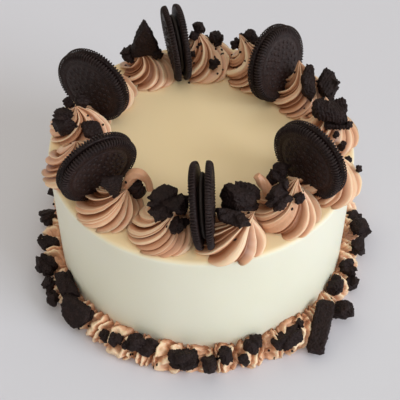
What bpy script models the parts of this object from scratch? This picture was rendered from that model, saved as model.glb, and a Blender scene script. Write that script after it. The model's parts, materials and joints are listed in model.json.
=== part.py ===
"""Cookies and cream celebration cake.

A round iced cake stands on its flat base at z = 0, with its axis on +Z and its
front towards -Y.  Thirteen piped swirls of chocolate buttercream ring the top,
six sandwich cookies stand among them like spokes, and broken cookie lies on the
swirls and in the piped border round the foot.  Lengths are in metres.
"""

import math
import random

import bmesh
import bpy
from mathutils import Matrix, Vector

MM = 0.001

# The iced cake
CAKE_RADIUS = 90.0 * MM
CAKE_HEIGHT = 90.0 * MM
CAKE_TOP_EDGE_ROUND = 3.5 * MM
CAKE_FOOT_ROUND = 0.8 * MM
CAKE_SEGMENTS = 72

# Clearance kept where pieces touch
GAP = 0.3 * MM

# Piped swirls: angle round the cake, distance from the axis, radius, height, then
# how far the tip leans outward and on to the next swirl
SWIRL_RIDGES = 8
SWIRL_TWIST = math.radians(125.0)
SWIRL_RIDGE_DEPTH = 0.19
SWIRL_CREST = 0.25
SWIRL_ROWS = [
    (225.0, 71.5, 19.0, 22.0, -3.5, 12.5),
    (253.0, 71.0, 19.0, 24.0, 1.0, 9.0),
    (281.5, 73.5, 20.5, 23.0, 3.5, 12.5),
    (310.0, 71.5, 19.5, 28.5, 3.0, 3.5),
    (335.0, 76.0, 21.0, 27.0, 0.0, 8.0),
    (4.0, 74.0, 19.0, 26.0, -2.0, 6.0),
    (31.0, 72.0, 19.0, 27.0, 0.0, 6.0),
    (61.0, 72.0, 21.5, 26.0, -1.0, 13.0),
    (89.0, 72.0, 21.0, 25.5, 1.0, 5.0),
    (117.5, 71.5, 19.0, 19.5, 2.0, 6.0),
    (145.0, 71.5, 19.0, 26.0, 1.0, 7.0),
    (172.0, 72.0, 19.0, 27.0, -1.0, 8.0),
    (198.0, 73.5, 21.0, 28.0, 0.0, 4.0),
]

# Sandwich cookies: name, angle, distance from the axis, turn off the spoke, lean
COOKIE_RADIUS = 22.25 * MM
WAFER_THICKNESS = 3.3 * MM
FILLING_THICKNESS = 1.2 * MM
FILLING_RADIUS = 18.0 * MM
COOKIE_SEGMENTS = 30
COOKIE_ROWS = [
    ("front", 271.0, 68.6, -2.6, -5.4),
    ("right_front", 329.0, 69.0, -14.0, -1.0),
    ("right_back", 45.0, 63.5, 6.0, 13.0),
    ("back", 103.5, 66.0, -1.0, 3.0),
    ("left_back", 158.0, 68.5, -9.0, -1.0),
    ("left_front", 216.0, 70.0, -2.0, 10.0),
]
COOKIE_THICKNESS = 2.0 * WAFER_THICKNESS + FILLING_THICKNESS + 2.0 * GAP

# Piped border round the foot
BORDER_HEIGHT = 15.5 * MM
BORDER_WIDTH = 14.5 * MM
BORDER_SHELLS = 38
BORDER_STEPS = 76

# Large broken pieces, each a solid of its own.  Every row gives the outline, the
# angle, the distance from the axis, the height of the centre above the top of
# the cake or above the base, length, depth, thickness, yaw, pitch and roll.
TOP_CHUNKS = [
    ("shard", 254.5, 69.5, 21.5, 24.5, 20.0, 17.0, 10.0, 12.0, 0.0),
    ("shard", 289.5, 62.0, 16.0, 24.0, 17.0, 17.0, -15.0, -8.0, 5.0),
    ("slab", 282.1, 77.0, 20.5, 22.0, 10.0, 7.0, -38.0, 25.0, 14.0),
    ("shard", 303.7, 74.0, 20.5, 18.0, 15.0, 11.0, 30.0, 30.0, 0.0),
    ("shard", 318.4, 56.0, 13.5, 16.0, 11.0, 9.0, 0.0, 0.0, 10.0),
    ("fin", 229.3, 71.5, 20.0, 12.0, 24.0, 8.0, 30.0, -75.0, 0.0),
    ("shard", 177.8, 79.0, 15.5, 17.0, 15.0, 14.0, 20.0, 0.0, 0.0),
    ("slab", 181.9, 63.0, 12.5, 17.0, 12.0, 6.0, 60.0, 15.0, 10.0),
    ("fin", 119.2, 71.0, 28.0, 20.0, 31.0, 10.0, -20.0, 82.0, 0.0),
    ("shard", 66.6, 76.0, 21.0, 14.0, 12.0, 11.0, 30.0, 30.0, 20.0),
    ("slab", 26.3, 71.5, 18.5, 25.0, 11.0, 9.0, -20.0, 0.0, -35.0),
    ("shard", 22.9, 82.0, 16.0, 22.0, 14.0, 11.0, -15.0, 0.0, -30.0),
    ("half", 5.1, 72.5, 21.0, 22.0, 21.0, 10.0, 12.0, 25.0, 5.0),
    ("bar", 359.6, 78.5, 15.0, 17.0, 5.0, 4.5, 90.0, 0.0, 0.0),
]
BASE_CHUNKS = [
    ("slab", 187.5, 98.5, 11.0, 18.0, 10.0, 9.0, 80.0, 0.0, 10.0),
    ("shard", 196.5, 102.0, 10.0, 18.0, 15.0, 13.0, 25.0, 0.0, 15.0),
    ("slab", 210.7, 95.0, 14.5, 27.0, 14.0, 9.0, 4.0, 35.0, 0.0),
    ("half", 221.8, 101.0, 12.5, 25.0, 18.0, 8.5, 196.0, -48.0, 8.0),
    ("shard", 248.2, 96.5, 13.5, 22.0, 14.0, 11.0, 4.0, -35.0, 6.0),
    ("shard", 263.9, 99.5, 12.5, 23.0, 15.5, 11.0, 4.0, -35.0, 0.0),
    ("slab", 272.5, 102.0, 11.0, 10.0, 25.0, 9.0, 10.0, -46.0, 0.0),
    ("shard", 288.6, 96.0, 14.5, 15.0, 12.0, 11.0, 8.0, -20.0, 8.0),
    ("shard", 301.2, 99.5, 13.5, 23.0, 13.0, 10.0, -12.0, -30.0, -16.0),
    ("bar", 312.8, 104.5, 11.5, 34.0, 11.5, 9.0, 30.0, 0.0, -25.0),
    ("slab", 323.5, 105.5, 10.0, 12.5, 20.0, 9.0, 30.0, -35.0, 0.0),
    ("shard", 330.1, 94.5, 14.5, 15.5, 13.0, 10.5, 12.0, -15.0, -6.0),
    ("shard", 1.7, 101.5, 12.0, 26.0, 14.0, 12.0, 10.0, 20.0, 12.0),
]

# Small broken pieces held in the frosting they lie on: angle, distance from the
# axis, height above the top of the cake or above the base, and size
TOP_CRUMBS = [
    (234.3, 60.0, 13.0, 15.5), (260.4, 77.0, 14.5, 12.0), (260.3, 64.5, 17.0, 12.0),
    (165.1, 83.0, 13.5, 10.0), (171.6, 69.5, 23.0, 12.0), (130.5, 78.5, 16.5, 10.0),
    (126.7, 79.5, 15.0, 11.5), (113.5, 68.5, 16.0, 11.5), (90.8, 74.0, 26.5, 10.0),
    (93.7, 70.5, 23.0, 8.0), (81.0, 73.5, 21.0, 13.5), (76.2, 74.5, 18.0, 9.0),
    (94.3, 62.0, 15.0, 5.5), (81.7, 58.5, 12.0, 9.5), (34.2, 79.5, 17.5, 9.0),
    (6.7, 83.0, 19.5, 12.5), (351.8, 82.0, 9.0, 9.0), (346.1, 87.0, 7.5, 6.5),
    (341.7, 93.0, 8.5, 6.0), (307.9, 72.0, 26.0, 8.0), (310.7, 80.0, 20.0, 8.5),
    (355.6, 77.5, 13.0, 6.5),
]
BASE_CRUMBS = [
    (174.8, 100.5, 12.0, 16.0), (183.2, 104.0, 7.5, 7.5), (203.4, 104.0, 8.5, 12.0),
    (209.9, 105.5, 8.5, 13.0), (235.4, 100.0, 10.5, 9.0), (239.6, 100.0, 13.0, 12.0),
    (243.8, 100.5, 13.0, 7.5), (307.0, 96.5, 14.5, 10.0), (278.0, 98.5, 13.5, 13.0),
    (284.0, 102.0, 11.0, 10.0), (336.1, 103.0, 7.0, 11.0), (339.5, 97.0, 13.5, 14.0),
    (351.4, 102.0, 11.0, 15.0),
]
BACK_CRUMB_COUNT = 12
BACK_CRUMB_FROM = 14.0
BACK_CRUMB_TO = 164.0

# Corners of the outlines that have a set form, as shares of the length and the depth
FIXED_OUTLINES = {
    "fin": [(-0.5, -0.42), (0.5, -0.5), (0.3, 0.1), (-0.02, 0.5), (-0.3, 0.05)],
    "bar": [
        (-0.5, -0.3), (-0.43, -0.5), (0.43, -0.5), (0.5, -0.3),
        (0.5, 0.3), (0.43, 0.5), (-0.43, 0.5), (-0.5, 0.3),
    ],
}

# Faces that meet at less than this angle count as one flat face
FLAT_ANGLE = math.radians(2.0)

SEED = 61


def clear_scene():
    """Remove everything that a new file starts with."""
    for item in list(bpy.data.objects):
        bpy.data.objects.remove(item, do_unlink=True)


def make_material(name, colour, roughness):
    """One plain surface for a node."""
    material = bpy.data.materials.new(name)
    material.use_nodes = True
    shader = material.node_tree.nodes["Principled BSDF"]
    shader.inputs["Base Color"].default_value = (*colour, 1.0)
    shader.inputs["Roughness"].default_value = roughness
    return material


FINISHES = {
    "cream": ((0.79, 0.72, 0.55), 0.5),
    "chocolate_frosting": ((0.47, 0.26, 0.16), 0.45),
    "chocolate_cookie": ((0.022, 0.014, 0.012), 0.6),
    "cookie_filling": ((0.05, 0.035, 0.028), 0.6),
}


def finish(name, mesh_data, look, smooth=False):
    """Turn a bmesh into a named object with its own material."""
    bmesh.ops.recalc_face_normals(mesh_data, faces=mesh_data.faces)
    mesh = bpy.data.meshes.new(name)
    mesh_data.to_mesh(mesh)
    mesh_data.free()
    item = bpy.data.objects.new(name, mesh)
    bpy.context.scene.collection.objects.link(item)
    colour, roughness = FINISHES[look]
    mesh.materials.append(make_material(name + "_finish", colour, roughness))
    for face in mesh.polygons:
        face.use_smooth = smooth
    return item


def polar(angle, distance, height):
    """A point from its angle in degrees, distance from the axis and height."""
    turn = math.radians(angle)
    return Vector((distance * math.cos(turn), distance * math.sin(turn), height))


def skin_rings(mesh_data, rings, start_point, end_point):
    """Join rings of vertices into a closed skin with a point at each end."""
    first = mesh_data.verts.new(start_point)
    last = mesh_data.verts.new(end_point)
    loops = [[mesh_data.verts.new(point) for point in ring] for ring in rings]
    count = len(loops[0])
    for index in range(count):
        following = (index + 1) % count
        mesh_data.faces.new((first, loops[0][following], loops[0][index]))
        mesh_data.faces.new((last, loops[-1][index], loops[-1][following]))
        for lower, upper in zip(loops, loops[1:]):
            mesh_data.faces.new((lower[index], lower[following], upper[following], upper[index]))


def turned(profile, segments):
    """Spin a profile of radius and height about Z; its two ends lie on the axis."""
    mesh_data = bmesh.new()
    rings = []
    for radius, height in profile[1:-1]:
        ring = []
        for step in range(segments):
            turn = math.tau * step / segments
            ring.append(Vector((radius * math.cos(turn), radius * math.sin(turn), height)))
        rings.append(ring)
    skin_rings(mesh_data, rings, Vector((0.0, 0.0, profile[0][1])), Vector((0.0, 0.0, profile[-1][1])))
    return mesh_data


def cake_profile():
    """Flat base, straight wall and a softly rounded top edge."""
    profile = [(0.0, 0.0), (CAKE_RADIUS - CAKE_FOOT_ROUND, 0.0), (CAKE_RADIUS, CAKE_FOOT_ROUND)]
    profile.append((CAKE_RADIUS, CAKE_HEIGHT - CAKE_TOP_EDGE_ROUND))
    for step in range(1, 4):
        turn = math.radians(90.0 * step / 3)
        radius = CAKE_RADIUS - CAKE_TOP_EDGE_ROUND * (1.0 - math.cos(turn))
        profile.append((radius, CAKE_HEIGHT - CAKE_TOP_EDGE_ROUND * (1.0 - math.sin(turn))))
    profile.append((0.0, CAKE_HEIGHT))
    return profile


def build_cake():
    """The iced cake is uncut, so it is one solid."""
    return finish("iced_cake", turned(cake_profile(), CAKE_SEGMENTS), "cream", smooth=True)


def cookie_frame(angle, distance, turn, lean):
    """Place a cookie on edge, its flat faces looking along the ring of swirls."""
    tilt = math.radians(lean)
    facing = math.radians(angle - 90.0 + turn)
    axis = Vector((math.cos(facing) * math.cos(tilt), math.sin(facing) * math.cos(tilt), math.sin(tilt)))
    drop = COOKIE_RADIUS * math.cos(tilt) + 0.5 * COOKIE_THICKNESS * abs(math.sin(tilt))
    centre = polar(angle, distance * MM, CAKE_HEIGHT + drop + GAP)
    side = axis.cross(Vector((0.0, 0.0, 1.0))).normalized()
    up = side.cross(axis)
    frame = Matrix((side, up, side.cross(up))).transposed()
    return Matrix.Translation(centre) @ frame.to_4x4()


def wafer_profile(base, outward):
    """Half a cookie: a flat face outside, a rounded rim, a flat face inside."""
    inner = base
    outer = base + outward * WAFER_THICKNESS
    return [
        (0.0, inner),
        (COOKIE_RADIUS - 0.6 * MM, inner),
        (COOKIE_RADIUS, inner + outward * 1.5 * MM),
        (COOKIE_RADIUS - 1.2 * MM, outer),
        (0.0, outer),
    ]


def build_cookies():
    """Each cookie is two wafers with a thinner, set-back filling between."""
    pieces = []
    half_filling = 0.5 * FILLING_THICKNESS
    for name, angle, distance, turn, lean in COOKIE_ROWS:
        frame = cookie_frame(angle, distance, turn, lean)
        for label, outward in (("wafer_a", 1.0), ("wafer_b", -1.0)):
            profile = wafer_profile(outward * (half_filling + GAP), outward)
            mesh_data = turned(profile, COOKIE_SEGMENTS)
            mesh_data.transform(frame)
            pieces.append(finish(f"cookie_{name}_{label}", mesh_data, "chocolate_cookie", smooth=True))
        profile = [(0.0, -half_filling), (FILLING_RADIUS, -half_filling)]
        profile += [(FILLING_RADIUS, half_filling), (0.0, half_filling)]
        mesh_data = turned(profile, COOKIE_SEGMENTS)
        mesh_data.transform(frame)
        pieces.append(finish(f"cookie_{name}_filling", mesh_data, "cookie_filling", smooth=True))
    return pieces


def cookie_clearances():
    """A slightly larger disc round each cookie."""
    discs = []
    half = 0.5 * COOKIE_THICKNESS + GAP
    radius = COOKIE_RADIUS + GAP
    for name, angle, distance, turn, lean in COOKIE_ROWS:
        mesh_data = turned([(0.0, -half), (radius, -half), (radius, half), (0.0, half)], COOKIE_SEGMENTS)
        mesh_data.transform(cookie_frame(angle, distance, turn, lean))
        discs.append(finish(f"clear_{name}", mesh_data, "cream"))
    return discs


def outline_points(outline, length, depth, chance):
    """The plan of a broken piece, as corners round its centre."""
    if outline == "half":
        corners = []
        for step in range(8):
            turn = math.pi * step / 7.0
            corners.append((0.5 * length * math.cos(turn), depth * (math.sin(turn) - 0.45)))
        return corners
    if outline in FIXED_OUTLINES:
        return [(x * length, y * depth) for x, y in FIXED_OUTLINES[outline]]
    corner_count = {"shard": 7, "slab": 6, "crumb": 5}[outline]
    corners = []
    for step in range(corner_count):
        turn = math.tau * (step + chance.uniform(-0.28, 0.28)) / corner_count
        reach = chance.uniform(0.86, 1.06)
        corners.append((0.5 * length * reach * math.cos(turn), 0.5 * depth * reach * math.sin(turn)))
    return corners


def chunk_points(outline, length, depth, thickness, chance):
    """Corner points of a broken piece, rough on its upper and lower faces."""
    points = []
    for x, y in outline_points(outline, length, depth, chance):
        upper = chance.uniform(0.7, 0.95)
        lower = chance.uniform(0.7, 0.95)
        points.append(Vector((x * upper, y * upper, 0.5 * thickness * chance.uniform(0.8, 1.0))))
        points.append(Vector((x * lower, y * lower, -0.5 * thickness * chance.uniform(0.8, 1.0))))
        if outline != "crumb":
            points.append(Vector((x, y, thickness * chance.uniform(-0.2, 0.2))))
    return points


def hull_mesh(points):
    """The convex solid round a set of points."""
    mesh_data = bmesh.new()
    for point in points:
        mesh_data.verts.new(point)
    result = bmesh.ops.convex_hull(mesh_data, input=list(mesh_data.verts), use_existing_faces=False)
    spare = [item for item in result["geom_interior"] if isinstance(item, bmesh.types.BMVert)]
    bmesh.ops.delete(mesh_data, geom=spare, context="VERTS")
    loose = [vert for vert in mesh_data.verts if not vert.link_faces]
    bmesh.ops.delete(mesh_data, geom=loose, context="VERTS")
    return mesh_data


def chunk_in_place(row, base_height, chance):
    """Corner points of a broken piece where it lies."""
    outline, angle, distance, height, length, depth, thickness, yaw, pitch, roll = row
    local = chunk_points(outline, length * MM, depth * MM, thickness * MM, chance)
    spin = Matrix.Rotation(math.radians(angle + 90.0 + yaw), 3, "Z")
    spin = spin @ Matrix.Rotation(math.radians(pitch), 3, "X") @ Matrix.Rotation(math.radians(roll), 3, "Y")
    centre = polar(angle, distance * MM, base_height + height * MM)
    return [centre + spin @ point for point in local], centre


def keep_outside(points, floor, wall):
    """Keep points above a floor and outside a round wall."""
    kept = []
    for point in points:
        reach = math.hypot(point.x, point.y)
        scale = max(1.0, wall / reach) if reach > 0.0 else 1.0
        kept.append(Vector((point.x * scale, point.y * scale, max(point.z, floor))))
    return kept


def grown(points, margin):
    """Move points out from their middle by a margin."""
    centre = sum(points, Vector()) / len(points)
    return [point + (point - centre).normalized() * margin for point in points]


def crumb_row(angle, distance, height, size, chance):
    """A small angular piece of about one size each way."""
    length = size * chance.uniform(0.95, 1.15)
    depth = size * chance.uniform(0.75, 1.0)
    thickness = size * chance.uniform(0.6, 0.85)
    yaw = chance.uniform(0.0, 360.0)
    return ("crumb", angle, distance, height, length, depth, thickness, yaw,
            chance.uniform(-30.0, 30.0), chance.uniform(-30.0, 30.0))


def swirl_ring(centre, radius, height, turn, depth):
    """One star-shaped ring of a swirl: a groove and a crest to each ridge."""
    ring = []
    for ridge in range(SWIRL_RIDGES):
        for share, reach in ((0.0, radius * (1.0 - depth)), (SWIRL_CREST, radius)):
            angle = turn + math.tau * (ridge + share) / SWIRL_RIDGES
            ring.append(centre + Vector((reach * math.cos(angle), reach * math.sin(angle), height)))
    return ring


def swirl_mesh(row, chance):
    """A tall star-tipped kiss whose ridges wind anticlockwise towards the point."""
    angle, distance, radius, height, outward, onward = row
    radius *= MM
    height *= MM
    centre = polar(angle, distance * MM, CAKE_HEIGHT + GAP)
    lean = polar(angle, outward * MM, 0.0) + polar(angle + 90.0, onward * MM, 0.0)
    start = math.radians(chance.uniform(0.0, 360.0))
    stations = [(0.0, 0.90), (0.15, 1.0), (0.33, 0.84), (0.58, 0.50), (0.83, 0.20)]
    rings = []
    for share, width in stations:
        turn = start + SWIRL_TWIST * share
        depth = SWIRL_RIDGE_DEPTH * (1.0 + 0.6 * share)
        leaning = lean * share * share
        rings.append(swirl_ring(centre + leaning, radius * width, height * share, turn, depth))
    mesh_data = bmesh.new()
    skin_rings(mesh_data, rings, centre, centre + lean + Vector((0.0, 0.0, height)))
    return mesh_data


def wedge_mesh(from_angle, to_angle):
    """The slice of space between two spokes, from near the axis outwards."""
    corners = []
    for angle, side in ((from_angle, 1.0), (to_angle, -1.0)):
        along = polar(angle, 1.0, 0.0)
        across = Vector((-along.y, along.x, 0.0)) * side * 0.5 * GAP
        for reach in (35.0 * MM, 130.0 * MM):
            corners.append(along * reach + across)
    points = [corner + Vector((0.0, 0.0, CAKE_HEIGHT - 2.0 * MM)) for corner in corners]
    points += [corner + Vector((0.0, 0.0, CAKE_HEIGHT + 60.0 * MM)) for corner in corners]
    return hull_mesh(points)


def shaped_mesh(target, group, operation, solver):
    """The mesh of the target cut by or joined with a group of objects."""
    modifier = target.modifiers.new("shape", "BOOLEAN")
    modifier.operation = operation
    modifier.solver = solver
    modifier.operand_type = "COLLECTION"
    modifier.collection = group
    bpy.context.view_layer.update()
    shaped = bpy.data.meshes.new_from_object(target.evaluated_get(bpy.context.evaluated_depsgraph_get()))
    target.modifiers.clear()
    return shaped


def is_closed(mesh):
    """Whether every edge of a mesh joins exactly two faces."""
    mesh_data = bmesh.new()
    mesh_data.from_mesh(mesh)
    closed = all(len(edge.link_faces) == 2 for edge in mesh_data.edges)
    mesh_data.free()
    return closed


def apply_boolean(target, others, operation):
    """Cut or join the target with other objects, which are then removed."""
    group = bpy.data.collections.new(target.name + "_group")
    bpy.context.scene.collection.children.link(group)
    for other in others:
        other.hide_render = True
        other.display_type = "WIRE"
        bpy.context.scene.collection.objects.unlink(other)
        group.objects.link(other)
    material = target.data.materials[0]
    shaped = shaped_mesh(target, group, operation, "EXACT")
    if not is_closed(shaped):
        shaped = shaped_mesh(target, group, operation, "MANIFOLD")
    target.data = shaped
    target.data.materials.clear()
    target.data.materials.append(material)
    for other in others:
        bpy.data.objects.remove(other, do_unlink=True)
    bpy.data.collections.remove(group)


def tidy_mesh(item):
    """Merge flat faces, drop loose scraps and leave triangles."""
    mesh = tidied(item.data, True)
    if not is_closed(mesh):
        mesh = tidied(item.data, False)
    mesh.materials.clear()
    mesh.materials.append(item.data.materials[0])
    item.data = mesh
    for face in mesh.polygons:
        face.use_smooth = False
        face.material_index = 0


def tidied(mesh, merge_flat):
    """A copy of a mesh in triangles, with only its biggest body."""
    mesh_data = bmesh.new()
    mesh_data.from_mesh(mesh)
    if merge_flat:
        sides = {"verts": mesh_data.verts, "edges": mesh_data.edges}
        bmesh.ops.dissolve_limit(mesh_data, angle_limit=FLAT_ANGLE, **sides)
    bmesh.ops.triangulate(mesh_data, faces=mesh_data.faces)
    keep_largest(mesh_data)
    bmesh.ops.recalc_face_normals(mesh_data, faces=mesh_data.faces)
    copy = bpy.data.meshes.new(mesh.name)
    mesh_data.to_mesh(copy)
    mesh_data.free()
    return copy


def keep_largest(mesh_data):
    """Keep only the biggest joined body of a mesh."""
    waiting = set(mesh_data.faces)
    bodies = []
    while waiting:
        stack = [waiting.pop()]
        body = list(stack)
        while stack:
            face = stack.pop()
            for edge in face.edges:
                for near in edge.link_faces:
                    if near in waiting:
                        waiting.remove(near)
                        stack.append(near)
                        body.append(near)
        bodies.append(body)
    bodies.sort(key=lambda faces: sum(face.calc_area() for face in faces), reverse=True)
    for body in bodies[1:]:
        bmesh.ops.delete(mesh_data, geom=body, context="FACES")
    loose = [vert for vert in mesh_data.verts if not vert.link_faces]
    bmesh.ops.delete(mesh_data, geom=loose, context="VERTS")


def sphere_of(item):
    """A ball round an object, as its centre and radius."""
    points = [vert.co for vert in item.data.vertices]
    centre = sum(points, Vector()) / len(points)
    return centre, max((point - centre).length for point in points)


def near(item, other):
    """Whether two objects could touch."""
    centre, reach = sphere_of(item)
    other_centre, other_reach = sphere_of(other)
    return (centre - other_centre).length < reach + other_reach


def carve(item, cutters):
    """Cut copies of the nearby cutters out of an object."""
    copies = []
    for cutter in cutters:
        if near(item, cutter):
            copy = cutter.copy()
            copy.data = cutter.data.copy()
            bpy.context.scene.collection.objects.link(copy)
            copies.append(copy)
    if copies:
        apply_boolean(item, copies, "DIFFERENCE")


def build_chunks(prefix, rows, base_height, wall, clearances, chance):
    """Large broken pieces, each clear of the pieces made before it."""
    chunks = []
    for index, row in enumerate(rows, start=1):
        points, _ = chunk_in_place(row, base_height, chance)
        points = keep_outside(points, base_height + 0.4 * MM, wall)
        chunk = finish(f"{prefix}_{index:02d}", hull_mesh(points), "chocolate_cookie")
        clearance = finish(f"clear_{prefix}_{index:02d}", hull_mesh(grown(points, 0.55 * MM)), "cream")
        carve(chunk, clearances)
        tidy_mesh(chunk)
        chunks.append(chunk)
        clearances.append(clearance)
    return chunks


def build_crumbs(rows, base_height, wall, chance):
    """Small broken pieces, to be joined with the frosting that holds them."""
    crumbs = []
    for index, (angle, distance, height, size) in enumerate(rows):
        row = crumb_row(angle, distance, height, size, chance)
        points, centre = chunk_in_place(row, base_height, chance)
        points = keep_outside(points, base_height + 0.4 * MM, wall)
        crumb = finish(f"crumb_{index}", hull_mesh(points), "chocolate_cookie")
        shell = finish(f"clear_crumb_{index}", hull_mesh(grown(points, 0.55 * MM)), "cream")
        crumbs.append((angle, crumb, shell))
    return crumbs


def angle_between(first, second):
    """The smaller angle between two directions in degrees."""
    return abs((first - second + 180.0) % 360.0 - 180.0)


def build_swirls(clearances, chance):
    """Swirls press flat against their neighbours and round what stands in them."""
    swirls = []
    crumbs = build_crumbs(TOP_CRUMBS, CAKE_HEIGHT, 0.0, chance)
    angles = [row[0] for row in SWIRL_ROWS]
    for index, row in enumerate(SWIRL_ROWS):
        before = angles[index - 1]
        after = angles[(index + 1) % len(angles)]
        low = row[0] - 0.5 * angle_between(row[0], before)
        high = row[0] + 0.5 * angle_between(row[0], after)
        swirl = finish(f"swirl_{index + 1:02d}", swirl_mesh(row, chance), "chocolate_frosting")
        apply_boolean(swirl, [finish("slice", wedge_mesh(low, high), "cream")], "INTERSECT")
        own = [item for item in crumbs if nearest_swirl(item[0], angles) == index]
        others = [item[2] for item in crumbs if nearest_swirl(item[0], angles) != index]
        carve(swirl, clearances + others)
        tidy_mesh(swirl)
        for _, crumb, _ in own:
            carve(crumb, clearances)
            tidy_mesh(crumb)
        if own:
            apply_boolean(swirl, [item[1] for item in own], "UNION")
        tidy_mesh(swirl)
        swirls.append(swirl)
    for _, _, shell in crumbs:
        bpy.data.objects.remove(shell, do_unlink=True)
    return swirls


def nearest_swirl(angle, angles):
    """The swirl that a small piece lies on."""
    return min(range(len(angles)), key=lambda index: angle_between(angle, angles[index]))


def border_mesh(chance):
    """A ring of piped shells round the foot of the cake."""
    mesh_data = bmesh.new()
    wall = CAKE_RADIUS + GAP
    waves = [(count, chance.uniform(0.0, math.tau), chance.uniform(0.3, 0.7) * MM) for count in (5, 8, 13)]
    rings = []
    for step in range(BORDER_STEPS):
        turn = math.tau * step / BORDER_STEPS
        shell = abs(math.sin(0.5 * BORDER_SHELLS * turn))
        drift = sum(size * math.sin(count * turn + phase) for count, phase, size in waves)
        width = BORDER_WIDTH + drift - 2.2 * MM * (1.0 - shell)
        height = BORDER_HEIGHT + 0.8 * drift - 2.0 * MM * (1.0 - shell)
        profile = [
            (0.0, 0.0), (0.0, height - 1.2 * MM), (0.24 * width, height), (0.62 * width, 0.86 * height),
            (width, 0.35 * height), (0.88 * width, 0.0),
        ]
        ring = []
        for out, up in profile:
            ring.append(mesh_data.verts.new(polar(math.degrees(turn), wall + out, up)))
        rings.append(ring)
    for index, ring in enumerate(rings):
        following = rings[(index + 1) % len(rings)]
        for side in range(len(ring)):
            ahead = (side + 1) % len(ring)
            mesh_data.faces.new((ring[side], following[side], following[ahead], ring[ahead]))
    return mesh_data


def build_border(clearances, chance):
    """The border is one ring, pressed round the large pieces, with small ones in it."""
    border = finish("foot_border", border_mesh(chance), "chocolate_frosting")
    rows = list(BASE_CRUMBS)
    hidden_side = random.Random(SEED + 1)
    for step in range(BACK_CRUMB_COUNT):
        share = (step + hidden_side.uniform(0.2, 0.8)) / BACK_CRUMB_COUNT
        angle = BACK_CRUMB_FROM + (BACK_CRUMB_TO - BACK_CRUMB_FROM) * share
        distance = hidden_side.uniform(99.0, 105.0)
        height = hidden_side.uniform(7.0, 13.0)
        rows.append((angle, distance, height, hidden_side.uniform(10.0, 17.0)))
    crumbs = build_crumbs(rows, 0.0, CAKE_RADIUS + 1.0 * MM, chance)
    carve(border, clearances)
    tidy_mesh(border)
    for _, crumb, shell in crumbs:
        carve(crumb, clearances)
        tidy_mesh(crumb)
        bpy.data.objects.remove(shell, do_unlink=True)
    apply_boolean(border, [item[1] for item in crumbs], "UNION")
    tidy_mesh(border)
    return border


def main():
    """Build every piece of the cake."""
    clear_scene()
    chance = random.Random(SEED)
    build_cake()
    build_cookies()
    clearances = cookie_clearances()
    build_chunks("top_chunk", TOP_CHUNKS, CAKE_HEIGHT, 0.0, clearances, chance)
    base_clearances = []
    build_chunks("foot_chunk", BASE_CHUNKS, 0.0, CAKE_RADIUS + 1.3 * MM, base_clearances, chance)
    build_swirls(clearances, chance)
    build_border(base_clearances, chance)
    for shell in clearances + base_clearances:
        bpy.data.objects.remove(shell, do_unlink=True)


main()
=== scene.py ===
"""Cookies and cream cake: the shapes and finishes of a round iced cake.

Thirteen piped swirls ring the top, with six sandwich cookies standing among them.
Broken cookie lies on the swirls and in the piped border round the foot.
Lengths are in metres, with +Z up and the front of the cake towards -Y.
"""

import json
import math
import random

import bmesh
import bpy
from mathutils import Euler, Matrix, Vector, noise
from mathutils.bvhtree import BVHTree

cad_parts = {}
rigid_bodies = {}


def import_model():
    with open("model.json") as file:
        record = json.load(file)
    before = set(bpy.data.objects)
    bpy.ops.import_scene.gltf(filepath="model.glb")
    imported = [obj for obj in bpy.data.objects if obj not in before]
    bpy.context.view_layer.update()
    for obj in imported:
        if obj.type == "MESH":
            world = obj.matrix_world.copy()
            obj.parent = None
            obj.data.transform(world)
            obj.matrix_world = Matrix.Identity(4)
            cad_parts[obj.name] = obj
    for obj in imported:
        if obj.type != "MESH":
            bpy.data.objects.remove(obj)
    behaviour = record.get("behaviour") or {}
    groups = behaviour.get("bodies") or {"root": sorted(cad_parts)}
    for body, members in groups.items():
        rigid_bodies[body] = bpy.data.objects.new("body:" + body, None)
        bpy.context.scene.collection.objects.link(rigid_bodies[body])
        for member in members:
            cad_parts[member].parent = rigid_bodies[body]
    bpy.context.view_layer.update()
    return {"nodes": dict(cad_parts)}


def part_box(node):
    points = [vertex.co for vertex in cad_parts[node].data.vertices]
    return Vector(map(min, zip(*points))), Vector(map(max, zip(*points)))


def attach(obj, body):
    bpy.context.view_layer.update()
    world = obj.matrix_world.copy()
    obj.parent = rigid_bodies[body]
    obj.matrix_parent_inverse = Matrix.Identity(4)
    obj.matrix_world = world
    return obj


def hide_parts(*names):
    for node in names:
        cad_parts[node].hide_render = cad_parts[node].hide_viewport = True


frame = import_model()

bl_info = {
    "name": "Cookies and Cream Cake",
    "version": (1, 0, 0),
    "blender": (4, 5, 0),
    "location": "View3D > Sidebar > Cake",
    "description": "Ices a round cake, pipes its swirls and border, and dresses it with dark cookies",
    "category": "Object",
}

CAKE_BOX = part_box("iced_cake")
MM = 0.001

# Points nearer than the first are merged, and places nearer than the second count as one
MERGE = 0.01 * MM
CLOSE = 0.1 * MM

# The two kinds of node that the shape trees use most
MATH = "ShaderNodeMath"
VECTOR_MATH = "ShaderNodeVectorMath"

# Finishes, each named for what it is and how its surface came about
CREAM_FINISH = "Vanilla buttercream, scraped smooth"
FROSTING_FINISH = "Chocolate buttercream, piped"
PRESSED_FINISH = "Cocoa wafer, pressed"
BROKEN_FINISH = "Cocoa wafer, broken"
FILLING_FINISH = "Sandwich filling, pressed"

# The coat of icing: steps round it, rows up the wall and over the edge, rings on the
# top, and how far the foot of the wall is cut back
COAT_STEPS = 240
WALL_ROWS = 40
EDGE_ROWS = 6
TOP_RINGS = 34
FOOT_EDGE = 0.5 * MM

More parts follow.
